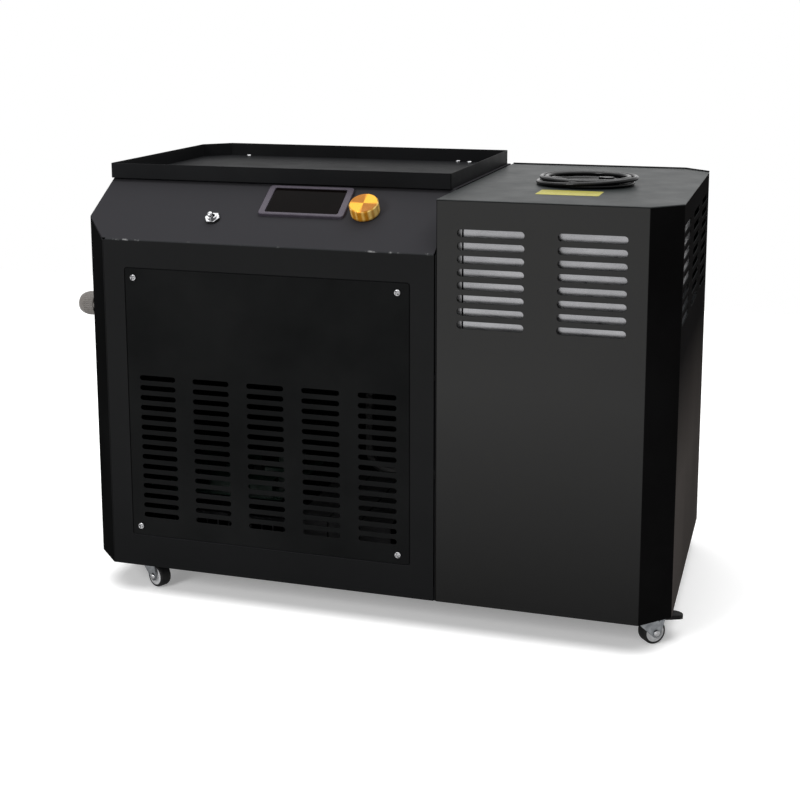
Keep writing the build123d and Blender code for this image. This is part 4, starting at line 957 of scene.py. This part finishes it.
# turns after the coil's start, with the radius and height of the cord's line there
winding = (
    (0.0, 46, 3), (0.1, 49.5, 3), (1.0, 50.5, 3), (2.0, 56, 3), (2.9, 61, 3),
    (3.3, 60.5, 8.9), (4.2, 55.5, 9), (4.9, 51, 9), (5.2, 45.5, 8.6), (5.4, 42.5, 4.4),
    (5.5, 42, 3.05), (5.75, 42, 3.05), (5.85, 42.3, 5.5), (5.93, 42.6, 8.6), (6.0, 43, 9.2),
    (6.05, 43.3, 8.4), (6.1, 43.5, 6), (6.16, 43.7, 3.5), (6.3, 43.8, 3),
)

# turns after the coil's start, with how far they fan out at its right end
fanning = ((0.0, 0), (1.0, 0), (2.0, 1.8), (3.0, 4.6), (3.5, 4.0), (4.3, 1.8), (5.0, 0), (6.3, 0))


def by_coil(x, y, height):
    """Place on the chiller's lid."""
    return Vector((coil.x + x * MM, coil.y + y * MM, top_z + height * MM))


def along_table(table, at):
    """Values between the rows of a table, eased from one row to the next."""
    for (low, *first), (high, *second) in zip(table, table[1:]):
        if low <= at <= high:
            share = (at - low) / (high - low)
            share = share * share * (3 - 2 * share)
            return [a + (b - a) * share for a, b in zip(first, second)]


def cord_relief():
    """Tapered, ribbed strain relief at the cord's outlet, flat where it lies on the lid."""
    steps, length = 8, 20 * MM
    rings = []
    for step in range(steps + 1):
        share = step / steps
        groove = 0.35 if step % 2 else 0.0
        ring = []
        for side in circle((4.4 - 1.2 * share - groove) * MM, steps=24):
            ring.append((-length * share, side.x, max(cord_radius + side.y, 0.1 * MM)))
        rings.append(ring)
    place = Matrix.Translation(by_coil(22, 18, 0))
    return piece("cord_relief", "cord_sheath", lofted_mesh(rings, 50), place)


def stripped_end():
    """The cord's bare end, with three cores in ferrules."""
    along = Vector((cos(finish_heading), sin(finish_heading), 0))
    end = aimed(by_coil(*cord_finish[-1], cord_radius / MM), along)
    mesh = turned_mesh(in_mm([(0, 0), (3, 0), (3, 11.6), (2.6, 12), (0, 12)]), 24)
    pieces = [piece("cord_end_sheath", "cord_sheath", mesh, end, ["cord_end"])]
    core = in_mm([(1, 11.5), (1, 20.5), (0.75, 21), (0, 21)])
    ferrule = in_mm([(0.7, 20), (0.7, 24.6), (0.5, 25), (0, 25)])
    for index, colour in enumerate(((0.09, 0.035, 0.015), (0.02, 0.08, 0.3), (0.25, 0.3, 0.03))):
        turn = 2 * pi * index / 3
        place = end @ Matrix.Translation((1.5 * MM * cos(turn), 1.5 * MM * sin(turn), 0))
        name = f"cord_core_{index + 1}"
        surface(name, colour, rough=(0.35, 0.45), relief=0.01)
        pieces.append(piece(name, name, turned_mesh(core, 16), place, ()))
        name = f"core_ferrule_{index + 1}"
        pieces.append(piece(name, "chrome", turned_mesh(ferrule, 16), place))
    return pieces


def cord_route():
    """Points of the cord's line, from its outlet through a loose coil of two layers to its end."""
    points = [by_coil(x, y, cord_radius / MM) for x, y in cord_start]
    for step in range(2, int(coil_turns * points_a_turn)):
        turn = step / points_a_turn
        angle = coil_start + 2 * pi * turn
        open_end = max(0.0, cos(angle)) ** 4
        radius, height = along_table(winding, turn)
        radius += along_table(fanning, turn)[0] * open_end
        if turn < 5.2:
            radius += 0.7 * sin(2.3 * turn + 2 * angle)
            height += 1.1 * open_end * (turn > 3.2)
        points.append(by_coil(oval * radius * cos(angle), radius * sin(angle), height))
    return points + [by_coil(x, y, cord_radius / MM) for x, y in cord_finish]


def mains_cord():
    """Mains cord with its strain relief and its stripped end."""
    fittings = [cord_relief(), *stripped_end()]
    points = cord_route()
    curve = bpy.data.curves.new("mains_cord_line", "CURVE")
    curve.dimensions = "3D"
    curve.bevel_depth = cord_radius
    curve.bevel_resolution = 4
    curve.resolution_u = 6
    spline = curve.splines.new("NURBS")
    spline.points.add(len(points) - 1)
    for point, place in zip(spline.points, points):
        point.co = (*place, 1)
    spline.order_u = 3
    spline.use_endpoint_u = True
    spline.use_smooth = True
    cord = scene_object("mains_cord_line", curve)
    curve.materials.append(materials["cord_sheath"])
    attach(cord, "cabinet")
    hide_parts("mains_cord", "mains_cord_coil")


mains_cord()

# ---- melting well and sticker


def mouth_collar():
    """Ceramic ring round the well's mouth."""
    low, high = ring_low.z, ring_high.z
    ledge = high - 14 * MM
    inner, outer, mouth = 51 * MM, 70 * MM, 58 * MM
    profile = [(inner, low), (outer, low), (outer, high), (mouth, high)]
    profile += [(mouth, ledge), (inner, ledge), (inner, low)]
    mesh = turned_mesh(rounded_profile(profile, 1.2 * MM), 96)
    piece("mouth_collar", "refractory", mesh, well_place, ["mouth_ring"])


def cup_mesh(node, foot, upper, floor, rounding, steps):
    """Turned cup: its foot and floor measured from its node's base, its upper part from the top, mm."""
    low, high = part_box(node)
    profile = [*in_mm(foot, low.z), *in_mm(upper, high.z), *in_mm(floor, low.z)]
    return turned_mesh(rounded_profile(profile, rounding * MM), steps)


def ceramic_liner():
    """White liner that hangs in the well's mouth by its rim."""
    foot, floor = [(0, 0), (49, 0)], [(40, 10), (0, 10)]
    upper = [(49, -14), (57, -14), (57, 0), (47, 0), (44, -16.5), (40, -25.5)]
    mesh = cup_mesh("crucible_liner", foot, upper, floor, 2.4, 96)
    piece("ceramic_liner", "white_ceramic", mesh, well_place, ["crucible_liner"], body="liner")


def graphite_pot():
    """Grey crucible with a pouring groove in its rim."""
    foot, floor = [(0, 0), (38.5, 0)], [(25, 12), (0, 12)]
    upper = [(38.5, -14), (42.5, -14), (42.5, -7), (42.5, 0), (36, 0), (30, 0), (29.6, -8)]
    mesh = cup_mesh("graphite_crucible", foot, upper, floor, 1.4, 144)
    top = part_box("graphite_crucible")[1].z
    groove = 6 * MM
    for co in (vertex.co for vertex in mesh.vertices):
        if co.x < 0 and abs(co.y) < groove and co.z > top - 7 * MM:
            co.z = min(co.z, top - sqrt(groove**2 - co.y**2))
    piece("graphite_pot", "graphite", mesh, well_place, ["graphite_crucible"], body="crucible")


def lid_sticker():
    """Bare yellow label on the chiller's lid."""
    mesh = plate_mesh(rounded(80 * MM, 47 * MM, 2 * MM), thickness=0.25 * MM, edge=0.05 * MM)
    place = Matrix.Translation((seam_x + 146 * MM, front_y + 104.5 * MM, top_z + 0.27 * MM))
    piece("lid_sticker", "sticker", mesh, place)


mouth_collar()
ceramic_liner()
graphite_pot()
lid_sticker()

# ---- casters


def both_halves(profile):
    """Turned profile given in mm from the middle outwards, with its mirror image before it."""
    return in_mm([(radius, -out) for radius, out in reversed(profile)] + profile)


def caster(corner):
    """Tyre, hub and axle heads of one caster."""
    roll = joints[f"caster_{corner}_roll"]
    middle, axle = Vector(roll["pos_m"]), Vector(roll["axis"])
    wheel = f"wheel_{corner}"
    half = 8.5  # of the tread's width
    tread = both_halves([(16.0, half - 2.6), (15.0, half - 0.4), (13.2, half), (12.4, half - 0.6)])
    mesh = turned_mesh(rounded_profile([*tread, tread[0]], 0.8 * MM, 3), 72, 50)
    place = aimed(middle, axle)
    piece(f"tyre_{corner}", "tyre_rubber", mesh, place, [f"caster_{wheel}"], wheel)
    hub = [(12.5, half - 0.4), (11.4, half - 0.4), (10.6, half - 2.2)]
    hub += [(5.2, half - 1.8), (4.6, half), (2.6, half)]
    mesh = turned_mesh(rounded_profile(both_halves(hub), 0.4 * MM, 2), 72, 40)
    piece(f"hub_{corner}", "wheel_plastic", mesh, place, body=wheel)
    dome = in_mm([(4.6, 0), (4.6, 0.8), (3.9, 1.9), (2.6, 2.6), (1.0, 2.9), (0.2, 2.95)])
    for side, side_name in ((1, "right"), (-1, "left")):
        place = aimed(middle + axle * side * 11.1 * MM, axle * side)
        name, mesh = f"axle_head_{corner}_{side_name}", turned_mesh(dome, 40, 60)
        piece(name, "chrome", mesh, place, (), f"caster_{corner}")


for caster_corner in ("front_left", "front_right", "rear_left", "rear_right"):
    caster(caster_corner)

# ---- studio


def pale_floor():
    """Floor of pale paper, lit up a little for the camera alone."""
    reach = 1.9
    mesh = bpy.data.meshes.new("floor")
    corners = [(-reach, -reach), (reach, -reach), (reach, reach), (-reach, reach)]
    mesh.from_pydata(lifted(corners, 0), [], [(0, 1, 2, 3)])
    paper = Coat("floor_paper")
    fibres = paper.spread(paper.noise(40, 4), 0.3, 0.7)
    seen = paper.node("ShaderNodeLightPath", "Is Camera Ray", {})
    paper.shade(
        Base_Color=paper.mix(fibres, (0.95, 0.95, 0.95), (0.97, 0.97, 0.97)),
        Roughness=1.0,
        Specular_IOR_Level=0.0,
        Emission_Color=(1, 1, 1),
        Emission_Strength=paper.math("MULTIPLY", seen, 0.25),
    )
    mesh.materials.append(materials["floor_paper"])
    scene_object("floor", mesh)


def soft_light(name, at, target, size, power):
    """Square area lamp aimed at a point."""
    data = bpy.data.lights.new(name, "AREA")
    data.size = size
    data.energy = power
    scene_object(name, data).matrix_world = aimed(at, Vector(at) - Vector(target))


def pale_world():
    """White surroundings, dimmer as a light than as they are seen and mirrored."""
    bpy.context.scene.world = bpy.data.worlds.new("studio")
    sky = Nodes(bpy.context.scene.world)
    rays = sky.node("ShaderNodeLightPath", 0, {}).node.outputs
    shown = sky.math("MAXIMUM", rays["Is Camera Ray"], rays["Is Glossy Ray"])
    shown = sky.math("MAXIMUM", shown, rays["Is Transmission Ray"])
    background = sky.tree.nodes["Background"].inputs
    sky.feed(background["Color"], (1, 1, 1))
    sky.feed(background["Strength"], sky.spread(shown, 0.0, 1.0, 0.25, 1.0))


def camera():
    """Camera at the photograph's viewing angle, its optical axis as far above the middle."""
    data = bpy.data.cameras.new("camera")
    data.sensor_width = 36
    data.lens = 62.145
    image_size, axis_row = 800, 256
    data.shift_y = (axis_row - image_size / 2) / image_size
    yaw, pitch, roll = radians(16.82), radians(9.74), radians(0.08)
    obj = scene_object("camera", data)
    obj.matrix_world = (
        Matrix.Translation((0.5540, -1.8330, 0.7777))
        @ Matrix.Rotation(yaw, 4, "Z")
        @ Matrix.Rotation(pi / 2 - pitch, 4, "X")
        @ Matrix.Rotation(-roll, 4, "Z")
    )
    bpy.context.scene.camera = obj


pale_floor()
soft_light("overhead", (0, 0, 3.2), (0, 0, 0), 4.4, 172)
soft_light("key", (-1.5, -3.2, 1.9), (0.1, 0, 0.35), 1.2, 60)
pale_world()
camera()
bpy.context.scene.view_settings.view_transform = "Standard"
